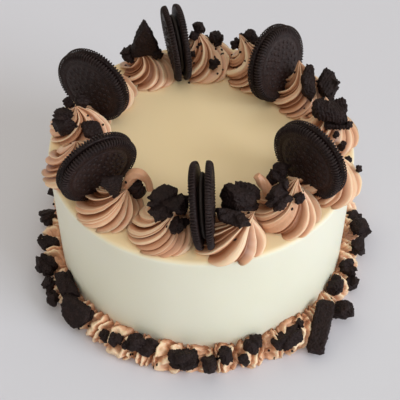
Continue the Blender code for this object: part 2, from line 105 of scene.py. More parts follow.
# Piped swirls: angle round the cake, distance from the axis, radius and height, then
# how far the tip leans outward and to the next swirl, in mm, and the twist in degrees
SWIRL_ROWS = [
    (225.0, 71.5, 19.0, 22.0, -3.5, 12.5, 110.0),
    (253.0, 71.0, 19.0, 24.0, 1.0, 9.0, 115.0),
    (281.5, 73.5, 20.5, 23.0, 3.5, 12.5, 78.0),
    (310.0, 71.5, 19.5, 28.5, 3.0, 3.5, 105.0),
    (335.0, 76.0, 21.0, 27.0, 0.0, 8.0, 100.0),
    (4.0, 74.0, 19.0, 26.0, -2.0, 6.0, 100.0),
    (31.0, 72.0, 19.0, 27.0, 0.0, 6.0, 110.0),
    (61.0, 72.0, 21.5, 26.0, -1.0, 13.0, 110.0),
    (89.0, 72.0, 21.0, 25.5, 1.0, 5.0, 95.0),
    (117.5, 71.5, 19.0, 19.5, 2.0, 6.0, 95.0),
    (145.0, 71.5, 19.0, 26.0, 1.0, 7.0, 110.0),
    (172.0, 72.0, 19.0, 27.0, -1.0, 8.0, 90.0),
    (198.0, 73.5, 21.0, 28.0, 0.0, 4.0, 100.0),
]

# Sandwich cookies: name, angle, distance from the axis, turn off the spoke, lean
# and how far the two wafers spread at the top, in mm and degrees
COOKIE_ROWS = [
    ("front", 271.0, 68.6, -2.6, -5.4, 4.0),
    ("right_front", 329.0, 69.0, -14.0, -1.0, 0.0),
    ("right_back", 45.0, 63.5, 6.0, 13.0, 0.0),
    ("back", 103.5, 66.0, -1.0, 3.0, 3.5),
    ("left_back", 158.0, 68.5, -9.0, -1.0, 0.0),
    ("left_front", 216.0, 70.0, -2.0, 10.0, 0.0),
]

# How close the waves of each unevenness lie, in waves to a metre: the coat of icing, the
# swirls and the border, then the crevices, lumps, crumbs and grain of broken cookie, the
# chips out of a fine crumb and the edge of the filling
SLOW_WAVES = 22.0
QUICK_WAVES = 70.0
DRIFT_WAVES = 95.0
SLUMP_WAVES = 120.0
CREVICE_WAVES = 220.0
LUMP_WAVES = 190.0
CRUMB_WAVES = 420.0
GRAIN_WAVES = 1100.0
CHIP_WAVES = 1400.0
FILLING_WAVES = 300.0
NOISE_MIDDLE = (0.5, 0.5, 0.5)

# Seeds of what is left to chance
SWIRL_SEED = 23
BORDER_SEED = 4.0
SMALL_PIECE_SEED = 7
SMALL_SURFACE_SEED = 40
BACK_PIECE_SEED = 62
CRUMB_SEED = 31

# Points round one ridge of a swirl and up its side, what its radius is spread by and its
# height drawn up by, and how far its base sinks into the icing
SWIRL_SAMPLES = 20
SWIRL_LEVELS = 64
SWIRL_SPREAD = 1.03
SWIRL_TIP = 0.6 * MM
SWIRL_SINK = 0.4 * MM

# Ridges of a swirl wander sideways in so many waves round it and by so many ridges, and
# stand out by a share between two. Its tip wanders so many times as far as its base
RIDGE_SWAY_WAVES = 2.4
RIDGE_SWAY = 2.4
RIDGE_SPREAD = (0.7, 1.2)
TIP_SWING = 2.6

# Two swirls are pressed flat this far short of the line between them, and how softly
PRESSED_SHORT = 0.1 * MM
PRESSED_SOFTLY = 1.6 * MM

# Points round one shell of the border and over its section, and how far it bites into
# the wall
SHELL_SAMPLES = 36
SHELL_LEVELS = 56
BORDER_BITE = 1.5 * MM

# Shells of the border wander along it in so many waves round the cake and by so many
# shells, and are larger or smaller by a share between two
SHELL_SWAY_WAVES = 5.0
SHELL_SWAY = 2.2
SHELL_SPREAD = (0.86, 1.12)

# Folds on one shell, how far they slant, least and most, and the ruffle that bends them;
# then how far the frosting slumps, and how far off the floor it stays
FOLDS_ON_SHELL = 3.0
FOLD_SLANT = (0.6, 3.2)
RUFFLE_WAVES = 11.0
RUFFLE = 1.2
SLUMP = 5.0 * MM
BORDER_LIFT = 0.1 * MM

# The nozzle drags marks this wide along a swirl, whose radius is one step of the flow
DRAG_MARK = 0.9 * MM
FLOW_STEP = 19.8 * MM

# Blocks added to a broken piece, then flat breaks cut from it. Slabs, bars, half wafers
# and fins have numbers of their own. There are as many crevices as blocks, two at most
COMMON_BREAKAGE = (3, 6)
SMALL_BREAKAGE = (2, 6)
MOST_CREVICES = 2

# A break presses back nearly all that lies past it, a crevice draws in less and wavers,
# and a small piece has lower lumps than a large one
BREAK_PRESSED = 0.92
CREVICE_DRAWN = 0.24
CREVICE_WAVER = 0.12
LARGE_LUMPS = 1.0
SMALL_LUMPS = 0.6

# Blocks and breaks of the pieces that stay plainer than most
PLAIN_PIECES = {
    "top_chunk_01": (2, 4), "top_chunk_02": (2, 2), "top_chunk_03": (1, 2), "top_chunk_06": (0, 0),
    "top_chunk_08": (0, 2), "top_chunk_09": (0, 0), "top_chunk_11": (0, 2), "top_chunk_12": (1, 4),
    "top_chunk_13": (1, 1), "top_chunk_14": (0, 0), "foot_chunk_01": (1, 2), "foot_chunk_03": (1, 1),
    "foot_chunk_04": (1, 1), "foot_chunk_06": (2, 3), "foot_chunk_07": (1, 0), "foot_chunk_09": (1, 3),
    "foot_chunk_10": (0, 0), "foot_chunk_11": (1, 2),
}

# Broken pieces with pressed ribs left on them, and the way across the ribs; a small
# piece goes by its place in TOP_PIECES
RIBBED_PIECES = {
    "top_chunk_12": (0.8, -0.6, 0.0), "top_chunk_13": (1.0, 0.3, 0.0), "top_chunk_14": (1.0, 0.0, 0.0),
}
RIBBED_SMALL_PIECES = {15: (1.0, 0.2, 0.0)}
RIB_PITCH = 1.8 * MM
RIB_RISE = 0.3 * MM

# Curls of frosting that stand up among the swirls: angle, distance from the axis, height
# above the top of the cake and radius, in mm, for each point along them
CURL_ROWS = [
    [(230.2, 65.1, 8.0, 3.0), (230.0, 62.6, 16.5, 3.4), (231.3, 58.9, 21.5, 4.0), (234.6, 56.5, 22.0, 3.8),
     (238.2, 55.3, 18.0, 2.6), (240.5, 56.3, 12.0, 2.2)],
    [(302.8, 54.7, 21.5, 2.6), (304.6, 57.7, 17.5, 3.6), (306.5, 60.9, 12.5, 3.9), (307.6, 65.7, 8.0, 3.8)],
]

# Fine crumbs: angle, distance from the axis, how far they spread in mm and how many
CRUMB_ROWS = [
    (89.0, 72.0, 13.0, 30), (75.0, 62.0, 9.0, 8), (101.0, 58.0, 8.0, 4), (62.0, 70.0, 10.0, 7),
    (30.0, 70.0, 12.0, 6), (8.0, 78.0, 12.0, 7), (345.0, 84.0, 9.0, 4), (311.0, 76.0, 9.0, 5),
    (284.0, 76.0, 8.0, 4), (254.0, 74.0, 9.0, 4), (229.0, 68.0, 9.0, 3), (176.0, 66.0, 12.0, 6),
    (128.0, 74.0, 9.0, 5), (174.5, 51.0, 1.0, 2),
    (200.0, 101.0, 12.0, 12), (226.0, 101.0, 12.0, 14), (250.0, 101.0, 12.0, 16), (276.0, 101.0, 12.0, 18),
    (300.0, 101.0, 12.0, 16), (326.0, 101.0, 12.0, 14), (350.0, 101.0, 12.0, 12), (30.0, 99.0, 14.0, 8),
    (75.0, 99.0, 18.0, 8), (120.0, 99.0, 18.0, 8), (160.0, 99.0, 14.0, 8),
]

# Height that fine crumbs fall from, and how far on either side of the wall none stay
CRUMB_FALL = 200.0 * MM
EDGE_KEPT_CLEAR = 7.0 * MM

# Rings of dots on the outer face of a wafer: share of the radius and count, then the
# radius of a dot and its flatness
DOT_RINGS = ((0.18, 6), (0.34, 11), (0.49, 16), (0.63, 21))
DOT_RADIUS = 1.15 * MM
DOT_FLATNESS = 0.48

# Steps round a wafer and its filling, and how unevenly the filling is pressed
WAFER_STEPS = 120
FILLING_STEPS = 72
FILLING_BULGE = 0.02

# Ribs over the rim of a wafer: height, depth of the roots as a share of the height, and
# width as a share of the pitch
RIM_RIB_HEIGHT = 0.5 * MM
RIM_RIB_ROOT = 0.2
RIM_RIB_SHARE = 0.62

# Small broken pieces: angle, distance from the axis, height above the top of the
# cake or above the base, and size, in mm
TOP_PIECES = [
    (234.3, 60.0, 13.0, 15.5), (260.4, 77.0, 14.5, 12.0), (260.3, 64.5, 17.0, 12.0),
    (165.1, 83.0, 13.5, 10.0), (171.6, 69.5, 23.0, 12.0), (130.5, 78.5, 16.5, 10.0),
    (126.7, 79.5, 15.0, 11.5), (113.5, 68.5, 16.0, 11.5), (90.8, 74.0, 26.5, 10.0),
    (93.7, 70.5, 23.0, 8.0), (81.0, 73.5, 21.0, 13.5), (76.2, 74.5, 18.0, 9.0),
    (94.3, 62.0, 15.0, 5.5), (81.7, 58.5, 12.0, 9.5), (34.2, 79.5, 17.5, 9.0),
    (6.7, 83.0, 19.5, 12.5), (351.8, 82.0, 9.0, 9.0), (346.1, 87.0, 7.5, 6.5),
    (341.7, 93.0, 8.5, 6.0), (307.9, 72.0, 26.0, 8.0), (310.7, 80.0, 20.0, 8.5),
    (355.6, 77.5, 13.0, 6.5),
]
FOOT_PIECES = [
    (174.8, 100.5, 12.0, 16.0), (183.2, 104.0, 7.5, 7.5), (203.4, 104.0, 8.5, 12.0),
    (209.9, 105.5, 8.5, 13.0), (235.4, 100.0, 10.5, 9.0), (239.6, 100.0, 13.0, 12.0),
    (243.8, 100.5, 13.0, 7.5), (307.0, 96.5, 14.5, 10.0), (278.0, 98.5, 13.5, 13.0),
    (284.0, 102.0, 11.0, 10.0), (336.1, 103.0, 7.0, 11.0), (339.5, 97.0, 13.5, 14.0),
    (351.4, 102.0, 11.0, 15.0),
]

# Small broken pieces round the hidden back of the border: how many, between which angles
# in degrees, and least and most distance, height and size in mm
BACK_PIECE_COUNT = 12
BACK_PIECE_FROM = 14.0
BACK_PIECE_TO = 164.0
BACK_PIECE_DISTANCE = (99.0, 105.0)
BACK_PIECE_HEIGHT = (7.0, 13.0)
BACK_PIECE_SIZE = (10.0, 17.0)

# Piped curls: steps along each one, points of the nozzle and how far it turns on the way,
# in radians
CURL_STEPS = 48
CURL_POINTS = 6
CURL_TURN = 2.5

# How far off the frosting a small piece is still let down to it, how near counts as lying
# on it, and how deep the others are pressed in
SETTLE_REACH = 10.0 * MM
SETTLE_GAP = 0.3 * MM
SETTLE_PRESS = 0.8 * MM

# Camera: lens and sensor in mm and shift, then where it stands and what it looks at
LENS = 85.5
SENSOR = 36.0
LENS_SHIFT = (-0.0035, -0.0158)
CAMERA_PLACE = (0.0, -394.9 * MM, 486.4 * MM)
CAMERA_AIM = (0.0, 0.0, 45.0 * MM)

# Lights: name, angle round the cake, height above the floor and softness in degrees,
# strength and colour. After them the light from all round, and the floor
LIGHT_ROWS = (
    ("window", -28.0, 25.0, 34.0, 1.77, (0.85, 0.925, 1.0)),
    ("overhead", -80.0, 68.0, 46.0, 0.52, (0.95, 0.98, 1.0)),
)
ROOM_COLOUR = (1.0, 0.93, 0.78, 1.0)
ROOM_STRENGTH = 0.53
FLOOR_RADIUS = 8.0
FLOOR_DROP = 0.3 * MM


def linear(hex_colour):
    """Turn an sRGB hex colour into the linear colour that a shader takes."""
    colour = []
    for index in (0, 2, 4):
        share = int(hex_colour[index:index + 2], 16) / 255.0
        colour.append(share / 12.92 if share <= 0.04045 else ((share + 0.055) / 1.055) ** 2.4)
    return colour + [1.0]


# Sizes and colours that a user would change


class CakeSizes(bpy.types.PropertyGroup):
    """Sizes of the iced cake."""

    radius: bpy.props.FloatProperty(
        name="Radius", description="From the axis to the iced wall", default=CAKE_BOX[1].x, unit="LENGTH")
    height: bpy.props.FloatProperty(
        name="Height", description="From the base to the iced top", default=CAKE_BOX[1].z, unit="LENGTH")
    edge_round: bpy.props.FloatProperty(
        name="Edge rounding", description="Radius of the top edge", default=2.6 * MM, unit="LENGTH")
    unevenness: bpy.props.FloatProperty(
        name="Unevenness", description="How far the spread icing wanders", default=0.35 * MM, unit="LENGTH")


class SwirlSizes(bpy.types.PropertyGroup):
    """Shape of the piped swirls."""

    ridges: bpy.props.IntProperty(
        name="Ridges", description="Points of the star nozzle", default=8, min=4, max=16)
    twist: bpy.props.FloatProperty(
        name="Twist", description="How much of its own twist each swirl is given", default=1.0)
    groove: bpy.props.FloatProperty(
        name="Groove depth", description="Depth of a groove as a share of the radius", default=0.42)
    unevenness: bpy.props.FloatProperty(
        name="Unevenness", description="How far the piping wanders", default=0.8 * MM, unit="LENGTH")


class CookieSizes(bpy.types.PropertyGroup):
    """Sizes of a whole sandwich cookie."""

    radius: bpy.props.FloatProperty(
        name="Radius", description="Radius of a wafer", default=22.25 * MM, unit="LENGTH")
    wafer: bpy.props.FloatProperty(
        name="Wafer thickness", description="Thickness of one wafer", default=3.3 * MM, unit="LENGTH")
    filling: bpy.props.FloatProperty(
        name="Filling thickness", description="Distance between the wafers", default=1.8 * MM, unit="LENGTH")
    filling_radius: bpy.props.FloatProperty(
        name="Filling radius", description="Radius of the filling", default=17.6 * MM, unit="LENGTH")
    rim_ribs: bpy.props.IntProperty(
        name="Rim ribs", description="Pressed ribs round the rim of a wafer", default=80, min=12, max=200)


class PieceSizes(bpy.types.PropertyGroup):
    """Surface of the broken cookie."""

    lumps: bpy.props.FloatProperty(
        name="Lumps", description="Height of the broken lumps", default=0.8 * MM, unit="LENGTH")
    grain: bpy.props.FloatProperty(
        name="Grain", description="Height of the broken grain", default=0.22 * MM, unit="LENGTH")
    crumb: bpy.props.FloatProperty(
        name="Crumb", description="Size of the largest fine crumb", default=2.5 * MM, unit="LENGTH")
    step: bpy.props.FloatProperty(
        name="Mesh step", description="Spacing of the surface mesh", default=0.55 * MM, unit="LENGTH")


class BorderSizes(bpy.types.PropertyGroup):
    """Shape of the piped border round the foot."""

    shells: bpy.props.IntProperty(
        name="Shells", description="Piped shells round the foot", default=38, min=8, max=90)
    width: bpy.props.FloatProperty(
        name="Width", description="How far the border stands out", default=14.5 * MM, unit="LENGTH")
    height: bpy.props.FloatProperty(
        name="Height", description="Height of the border", default=16.0 * MM, unit="LENGTH")
    folds: bpy.props.FloatProperty(
        name="Folds", description="Depth of the folds as a share of the width", default=0.26)


class CakeColours(bpy.types.PropertyGroup):
    """Main colours of the finishes."""

    cream: bpy.props.FloatVectorProperty(
        name="Cream", description="Icing of the cake", size=4, subtype="COLOR", default=linear("F5F3E5"))
    # The top's colour is painted shade, yellower and darker than the wall, where grazing light and warm
    # bounce fall
    cream_top: bpy.props.FloatVectorProperty(
        name="Top cream", description="Icing of the top", size=4, subtype="COLOR", default=linear("F3DBB0"))
    chocolate: bpy.props.FloatVectorProperty(
        name="Chocolate", description="Piped frosting", size=4, subtype="COLOR", default=linear("E6B08E"))
    cookie: bpy.props.FloatVectorProperty(
        name="Cookie", description="Baked dark wafer", size=4, subtype="COLOR", default=linear("251818"))
    broken: bpy.props.FloatVectorProperty(
        name="Broken", description="Broken dark wafer", size=4, subtype="COLOR", default=linear("201414"))
    filling: bpy.props.FloatVectorProperty(
        name="Filling", description="Pressed filling", size=4, subtype="COLOR", default=linear("2A1D18"))


# Nodes and meshes


def add_node(tree, kind, inputs=None, **settings):
    """Add a node, set its properties and give each input a value or a link."""
    node = tree.nodes.new(kind)
    for name, value in settings.items():
        setattr(node, name, value)
    for name, value in (inputs or {}).items():
        if isinstance(value, bpy.types.NodeSocket):
            tree.links.new(value, node.inputs[name])
        else:
            node.inputs[name].default_value = value
    return node


def shape_curve(node, points):
    """Give a Float Curve node its points, the two ends first.

    A point with a third value is a sharp corner.
    """
    curve = node.mapping.curves[0]
    for index, point in enumerate(points):
        if index < 2:
            item = curve.points[index]
            item.location = point[:2]
        else:
            item = curve.points.new(*point[:2])
    for item in curve.points:
        here = Vector(item.location)
        match = min(points, key=lambda point: (Vector(point[:2]) - here).length)
        item.handle_type = "VECTOR" if len(match) > 2 else "AUTO_CLAMPED"
    node.mapping.update()


def new_shape_tree(name, sockets):
    """A geometry tree with named inputs, and the sockets they come out of."""
    tree = bpy.data.node_groups.new(name, "GeometryNodeTree")
    tree.interface.new_socket(name="Geometry", in_out="INPUT", socket_type="NodeSocketGeometry")
    for label, kind in sockets:
        tree.interface.new_socket(name=label, in_out="INPUT", socket_type=kind)
    tree.interface.new_socket(name="Geometry", in_out="OUTPUT", socket_type="NodeSocketGeometry")
    return tree, add_node(tree, "NodeGroupInput").outputs


def end_tree(tree, shape, finish, smooth=True):
    """Shade the shape smooth or flat, make its instances real and give it its finish."""
    if smooth:
        shape = add_node(tree, "GeometryNodeSetShadeSmooth", {"Geometry": shape}).outputs[0]
    real = add_node(tree, "GeometryNodeRealizeInstances", {0: shape})
    finished = add_node(tree, "GeometryNodeSetMaterial", {"Geometry": real.outputs[0], "Material": finish})
    add_node(tree, "NodeGroupOutput", {0: finished.outputs[0]})


def unrolled_grid(tree, given, repeats):
    """A flat grid to roll up, and what share of the way round and up each point lies."""
    around = add_node(tree, MATH, {0: given[repeats], 1: given["Samples"]}, operation="MULTIPLY")
    across = add_node(tree, MATH, {0: around.outputs[0], 1: 1.0}, operation="ADD")
    grid = add_node(tree, "GeometryNodeMeshGrid", {
        "Size X": 1.0, "Size Y": 1.0, "Vertices X": across.outputs[0], "Vertices Y": given["Rows"]})
    position = add_node(tree, "GeometryNodeInputPosition").outputs[0]
    spot = add_node(tree, "ShaderNodeSeparateXYZ", {0: position})
    share_round = add_node(tree, MATH, {0: spot.outputs["X"], 1: 0.5}, operation="ADD").outputs[0]
    share_up = add_node(tree, MATH, {0: spot.outputs["Y"], 1: 0.5}, operation="ADD").outputs[0]
    return grid.outputs["Mesh"], share_round, share_up


def marked_for_finish(tree, mesh, groove, flow):
    """Keep how deep in a groove each point lies, which the finish turns into painted shade and highlight, and
    where along the nozzle's way it lies.
    """
    grooved = add_node(tree, "GeometryNodeStoreNamedAttribute", {
        "Geometry": mesh, "Name": "groove", "Value": groove}, data_type="FLOAT", domain="POINT")
    flowing = add_node(tree, "GeometryNodeStoreNamedAttribute", {
        "Geometry": grooved.outputs[0], "Name": "flow", "Value": flow},
        data_type="FLOAT_VECTOR", domain="POINT")
    return flowing.outputs[0]


def rolled_up(tree, mesh, point):
    """The grid with each point in its place and its seam and poles closed."""
    rolled = add_node(tree, "GeometryNodeSetPosition", {"Geometry": mesh, "Position": point})
    closed = add_node(tree, "GeometryNodeMergeByDistance", {
        "Geometry": rolled.outputs[0], "Distance": MERGE})
    return closed.outputs[0]


def run_tree(name, mesh, tree, values):
    """Run a geometry tree once and keep what it makes as a plain mesh."""
    item = bpy.data.objects.new(name, mesh)
    bpy.context.scene.collection.objects.link(item)
    modifier = item.modifiers.new("shape", "NODES")
    modifier.node_group = tree
    for socket in tree.interface.items_tree:
        if socket.in_out == "INPUT" and socket.name in values:
            modifier[socket.identifier] = values[socket.name]
    graph = bpy.context.evaluated_depsgraph_get()
    made = bpy.data.meshes.new_from_object(item.evaluated_get(graph))
    item.modifiers.remove(modifier)
    item.data = made
    return item


def new_piece(name, mesh_data, material):
    """A smooth piece from a bmesh."""
    mesh = bpy.data.meshes.new(name)
    mesh_data.to_mesh(mesh)
    mesh_data.free()
    for face in mesh.polygons:
        face.use_smooth = True
    mesh.materials.append(material)
    item = bpy.data.objects.new(name, mesh)
    bpy.context.scene.collection.objects.link(item)
    return item


def place(item, slot_name, *nodes):
    """Hang a piece on the cake and hide the solids it stands for. The slot name is not used."""
    if not item.data.polygons:
        raise RuntimeError(f"{item.name} has no surface")
    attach(item, "root")
    if nodes:
        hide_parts(*nodes)


def polar(angle, distance, height):
    """A point from its angle in degrees, distance from the axis and height."""
    turn = math.radians(angle)
    return Vector((distance * math.cos(turn), distance * math.sin(turn), height))


def turned(profile, segments):
    """Spin a profile of radius and height about Z; its two ends lie on the axis."""
    mesh_data = bmesh.new()
    first = mesh_data.verts.new((0.0, 0.0, profile[0][1]))
    last = mesh_data.verts.new((0.0, 0.0, profile[-1][1]))
    loops = []
    for radius, height in profile[1:-1]:
        ring = []
        for step in range(segments):
            turn = math.tau * step / segments
            ring.append(mesh_data.verts.new((radius * math.cos(turn), radius * math.sin(turn), height)))
        loops.append(ring)
    for index in range(segments):
        ahead = (index + 1) % segments
        mesh_data.faces.new((first, loops[0][ahead], loops[0][index]))
        mesh_data.faces.new((last, loops[-1][index], loops[-1][ahead]))
        for lower, upper in zip(loops, loops[1:]):
            mesh_data.faces.new((lower[index], lower[ahead], upper[ahead], upper[index]))
    bmesh.ops.recalc_face_normals(mesh_data, faces=mesh_data.faces)
    return mesh_data


# Finishes


def new_finish(name, colour, roughness):
    """A material with its Principled shader set, and object coordinates."""
    material = bpy.data.materials.new(name)
    material.use_nodes = True
    tree = material.node_tree
    shader = tree.nodes["Principled BSDF"]
    shader.inputs["Base Color"].default_value = colour
    shader.inputs["Roughness"].default_value = roughness
    place_on = add_node(tree, "ShaderNodeTexCoord").outputs["Object"]
    return material, tree, shader, place_on


def scale_of(width):
    """The scale of a pattern whose features are about that wide."""
    return 1.0 / width


def shade(colour, factor, warmth=1.0):
    """A darker or lighter tone of a colour; warmth below one takes blue out."""
    return [colour[0] * factor, colour[1] * factor, colour[2] * factor * warmth, 1.0]


def cream_icing(colour, top_shade_colour):
    """Vanilla buttercream scraped smooth: matt-satin, faint scraper lines, few tiny pits."""
    material, tree, shader, place_on = new_finish(CREAM_FINISH, colour, 0.46)
    shader.inputs["Subsurface Weight"].default_value = 0.12
    shader.inputs["Subsurface Radius"].default_value = (1.0, 0.75, 0.45)
    shader.inputs["Subsurface Scale"].default_value = 4.0 * MM
    # Cream yellows a little where it is thicker, in wide patches
    patches = add_node(tree, "ShaderNodeTexNoise", {
        "Vector": place_on, "Scale": scale_of(62.5 * MM), "Detail": 3.0})
    tone = add_node(tree, "ShaderNodeMix", {0: patches.outputs["Fac"]}, data_type="RGBA")
    tone.inputs["A"].default_value = colour
    tone.inputs["B"].default_value = shade(colour, 0.94, 0.9)
    # Painted shade: the top is painted yellower and darker than the wall, for the grazing light and warm
    # bounce from the swirls that fall on it
    normal = add_node(tree, "ShaderNodeNewGeometry").outputs["Normal"]
    upward = add_node(tree, "ShaderNodeSeparateXYZ", {0: normal}).outputs["Z"]
    # The more a point faces up, the more of the painted top shade it takes
    top_shade_share = add_node(tree, "ShaderNodeMapRange", {"Value": upward, 1: 0.3, 2: 1.0, 3: 0.0, 4: 1.0})
    top = add_node(tree, "ShaderNodeMix", {0: top_shade_share.outputs[0], "A": tone.outputs["Result"]}, data_type="RGBA")
    top.inputs["B"].default_value = top_shade_colour
    tree.links.new(top.outputs["Result"], shader.inputs["Base Color"])
    # Scraper lines run level round the wall, long and about 2.4 mm apart
    length = scale_of(167.0 * MM)
    lines_at = add_node(tree, "ShaderNodeMapping", {
        "Vector": place_on, "Scale": (length, length, scale_of(2.38 * MM))})
    lines = add_node(tree, "ShaderNodeTexNoise", {"Vector": lines_at.outputs[0], "Scale": 1.0, "Detail": 3.0})
    # Smears are about as wide as the scraper's corner, and pits are tiny and a few millimetres apart
    smears = add_node(tree, "ShaderNodeTexNoise", {
        "Vector": place_on, "Scale": scale_of(16.7 * MM), "Detail": 4.0})
    pits = add_node(tree, "ShaderNodeTexVoronoi", {"Vector": place_on, "Scale": scale_of(5.26 * MM)})
    pit = add_node(tree, "ShaderNodeMapRange", {
        "Value": pits.outputs["Distance"], 1: 0.0, 2: 0.16, 3: 0.0, 4: 1.0})
    first = add_node(tree, "ShaderNodeBump", {
        "Height": lines.outputs["Fac"], "Strength": 0.12, "Distance": 0.3 * MM})
    second = add_node(tree, "ShaderNodeBump", {
        "Height": smears.outputs["Fac"], "Strength": 0.25, "Distance": 0.5 * MM, "Normal": first.outputs[0]})
    third = add_node(tree, "ShaderNodeBump", {
        "Height": pit.outputs[0], "Strength": 0.15, "Distance": 0.2 * MM, "Normal": second.outputs[0]})
    tree.links.new(third.outputs[0], shader.inputs["Normal"])
    return material


def chocolate_frosting(colour):
    """Chocolate buttercream pressed through a star nozzle: satin, with fine air bubbles."""
    material, tree, shader, place_on = new_finish(FROSTING_FINISH, colour, 0.38)
    shader.inputs["Subsurface Weight"].default_value = 0.12
    shader.inputs["Subsurface Radius"].default_value = (1.0, 0.5, 0.3)
    shader.inputs["Subsurface Scale"].default_value = 2.0 * MM
    # Cocoa is stirred in unevenly, in streaks
    streaks = add_node(tree, "ShaderNodeTexNoise", {
        "Vector": place_on, "Scale": scale_of(11.1 * MM), "Detail": 4.0})
    tone = add_node(tree, "ShaderNodeMix", {0: streaks.outputs["Fac"]}, data_type="RGBA")
    tone.inputs["A"].default_value = shade(colour, 1.08)
    tone.inputs["B"].default_value = shade(colour, 0.88, 0.92)
    # Painted highlight and painted shade: the crests are painted paler as a highlight (the share named dry),
    # and the grooves darker and more saturated as shade
    groove = add_node(tree, "ShaderNodeAttribute", attribute_name="groove").outputs["Fac"]
    dry = add_node(tree, "ShaderNodeMapRange", {"Value": groove, 1: 0.0, 2: 0.2, 3: 1.0, 4: 0.0})
    crest = add_node(tree, "ShaderNodeMix", {
        0: dry.outputs[0], "A": tone.outputs["Result"]}, data_type="RGBA")
    crest.inputs["B"].default_value = [min(1.0, share * 1.45 + 0.11) for share in colour[:3]] + [1.0]
    # Painted shade down in the grooves
    depth = add_node(tree, "ShaderNodeMapRange", {"Value": groove, 1: 0.22, 2: 0.80, 3: 0.0, 4: 1.0})
    deep = add_node(tree, "ShaderNodeMix", {
        0: depth.outputs[0], "A": crest.outputs["Result"]}, data_type="RGBA")
    deep.inputs["B"].default_value = (colour[0] * 0.42, colour[1] * 0.28, colour[2] * 0.19, 1.0)
    tree.links.new(deep.outputs["Result"], shader.inputs["Base Color"])
    # Drag marks follow the ridges, wider on the border than on a swirl. Real bubbles are
    # under 0.5 mm and wouldn't show, so these are drawn coarser
    flow = add_node(tree, "ShaderNodeAttribute", attribute_name="flow").outputs["Vector"]
    drag = add_node(tree, "ShaderNodeTexNoise", {
        "Vector": flow, "Scale": scale_of(DRAG_MARK / FLOW_STEP), "Detail": 4.0})
    bubbles = add_node(tree, "ShaderNodeTexVoronoi", {"Vector": place_on, "Scale": scale_of(1.54 * MM)})
    first = add_node(tree, "ShaderNodeBump", {
        "Height": drag.outputs["Fac"], "Strength": 0.45, "Distance": 0.8 * MM})
    second = add_node(tree, "ShaderNodeBump", {
        "Height": bubbles.outputs["Distance"], "Strength": 0.15, "Distance": 0.3 * MM,
        "Normal": first.outputs[0]})
    tree.links.new(second.outputs[0], shader.inputs["Normal"])
    return material


def dark_cookie(name, colour, pitting, roughness, gloss):
    """Dark cocoa biscuit: dry and dull, full of fine pores, paler where cocoa dust clings."""
    material, tree, shader, place_on = new_finish(name, colour, roughness)
    shader.inputs["Specular IOR Level"].default_value = gloss
    dust = add_node(tree, "ShaderNodeTexNoise", {
        "Vector": place_on, "Scale": scale_of(3.85 * MM), "Detail": 6.0, "Roughness": 0.65})
    share = add_node(tree, "ShaderNodeMapRange", {
        "Value": dust.outputs["Fac"], 1: 0.42, 2: 0.72, 3: 0.0, 4: 1.0})
    tone = add_node(tree, "ShaderNodeMix", {0: share.outputs[0]}, data_type="RGBA")
    tone.inputs["A"].default_value = colour
    tone.inputs["B"].default_value = shade(colour, 1.9, 0.9)
    tree.links.new(tone.outputs["Result"], shader.inputs["Base Color"])
    # Pores and the grain of the crumb between them
    pores = add_node(tree, "ShaderNodeTexVoronoi", {"Vector": place_on, "Scale": scale_of(1.43 * MM)})
    grain = add_node(tree, "ShaderNodeTexNoise", {
        "Vector": place_on, "Scale": scale_of(1.11 * MM), "Detail": 5.0, "Roughness": 0.7})
    first = add_node(tree, "ShaderNodeBump", {
        "Height": pores.outputs["Distance"], "Strength": pitting, "Distance": 0.7 * MM})
    second = add_node(tree, "ShaderNodeBump", {
        "Height": grain.outputs["Fac"], "Strength": 0.6, "Distance": 0.7 * MM, "Normal": first.outputs[0]})
    tree.links.new(second.outputs[0], shader.inputs["Normal"])
    return material


def cookie_cream(colour):
    """Soft sugar filling between the wafers: dull, slightly crumbly."""
    material, tree, shader, place_on = new_finish(FILLING_FINISH, colour, 0.6)
    crumbs = add_node(tree, "ShaderNodeTexNoise", {
        "Vector": place_on, "Scale": scale_of(2.0 * MM), "Detail": 4.0})
    tone = add_node(tree, "ShaderNodeMix", {0: crumbs.outputs["Fac"]}, data_type="RGBA")
    tone.inputs["A"].default_value = colour
    tone.inputs["B"].default_value = shade(colour, 0.6)
    tree.links.new(tone.outputs["Result"], shader.inputs["Base Color"])
    bump = add_node(tree, "ShaderNodeBump", {
        "Height": crumbs.outputs["Fac"], "Strength": 0.4, "Distance": 0.4 * MM})
    tree.links.new(bump.outputs[0], shader.inputs["Normal"])
    return material


def finish_for(name):
    """The finish of that name, made the first time it is asked for."""
    colours = bpy.context.scene.cake_colours
    makers = {
        CREAM_FINISH: lambda: cream_icing(list(colours.cream), list(colours.cream_top)),
        FROSTING_FINISH: lambda: chocolate_frosting(list(colours.chocolate)),
        PRESSED_FINISH: lambda: dark_cookie(
            name, list(colours.cookie), pitting=0.35, roughness=0.5, gloss=0.3),
        BROKEN_FINISH: lambda: dark_cookie(
            name, list(colours.broken), pitting=0.9, roughness=0.62, gloss=0.22),
        FILLING_FINISH: lambda: cookie_cream(list(colours.filling)),
    }
    return bpy.data.materials.get(name) or makers[name]()


# The iced cake


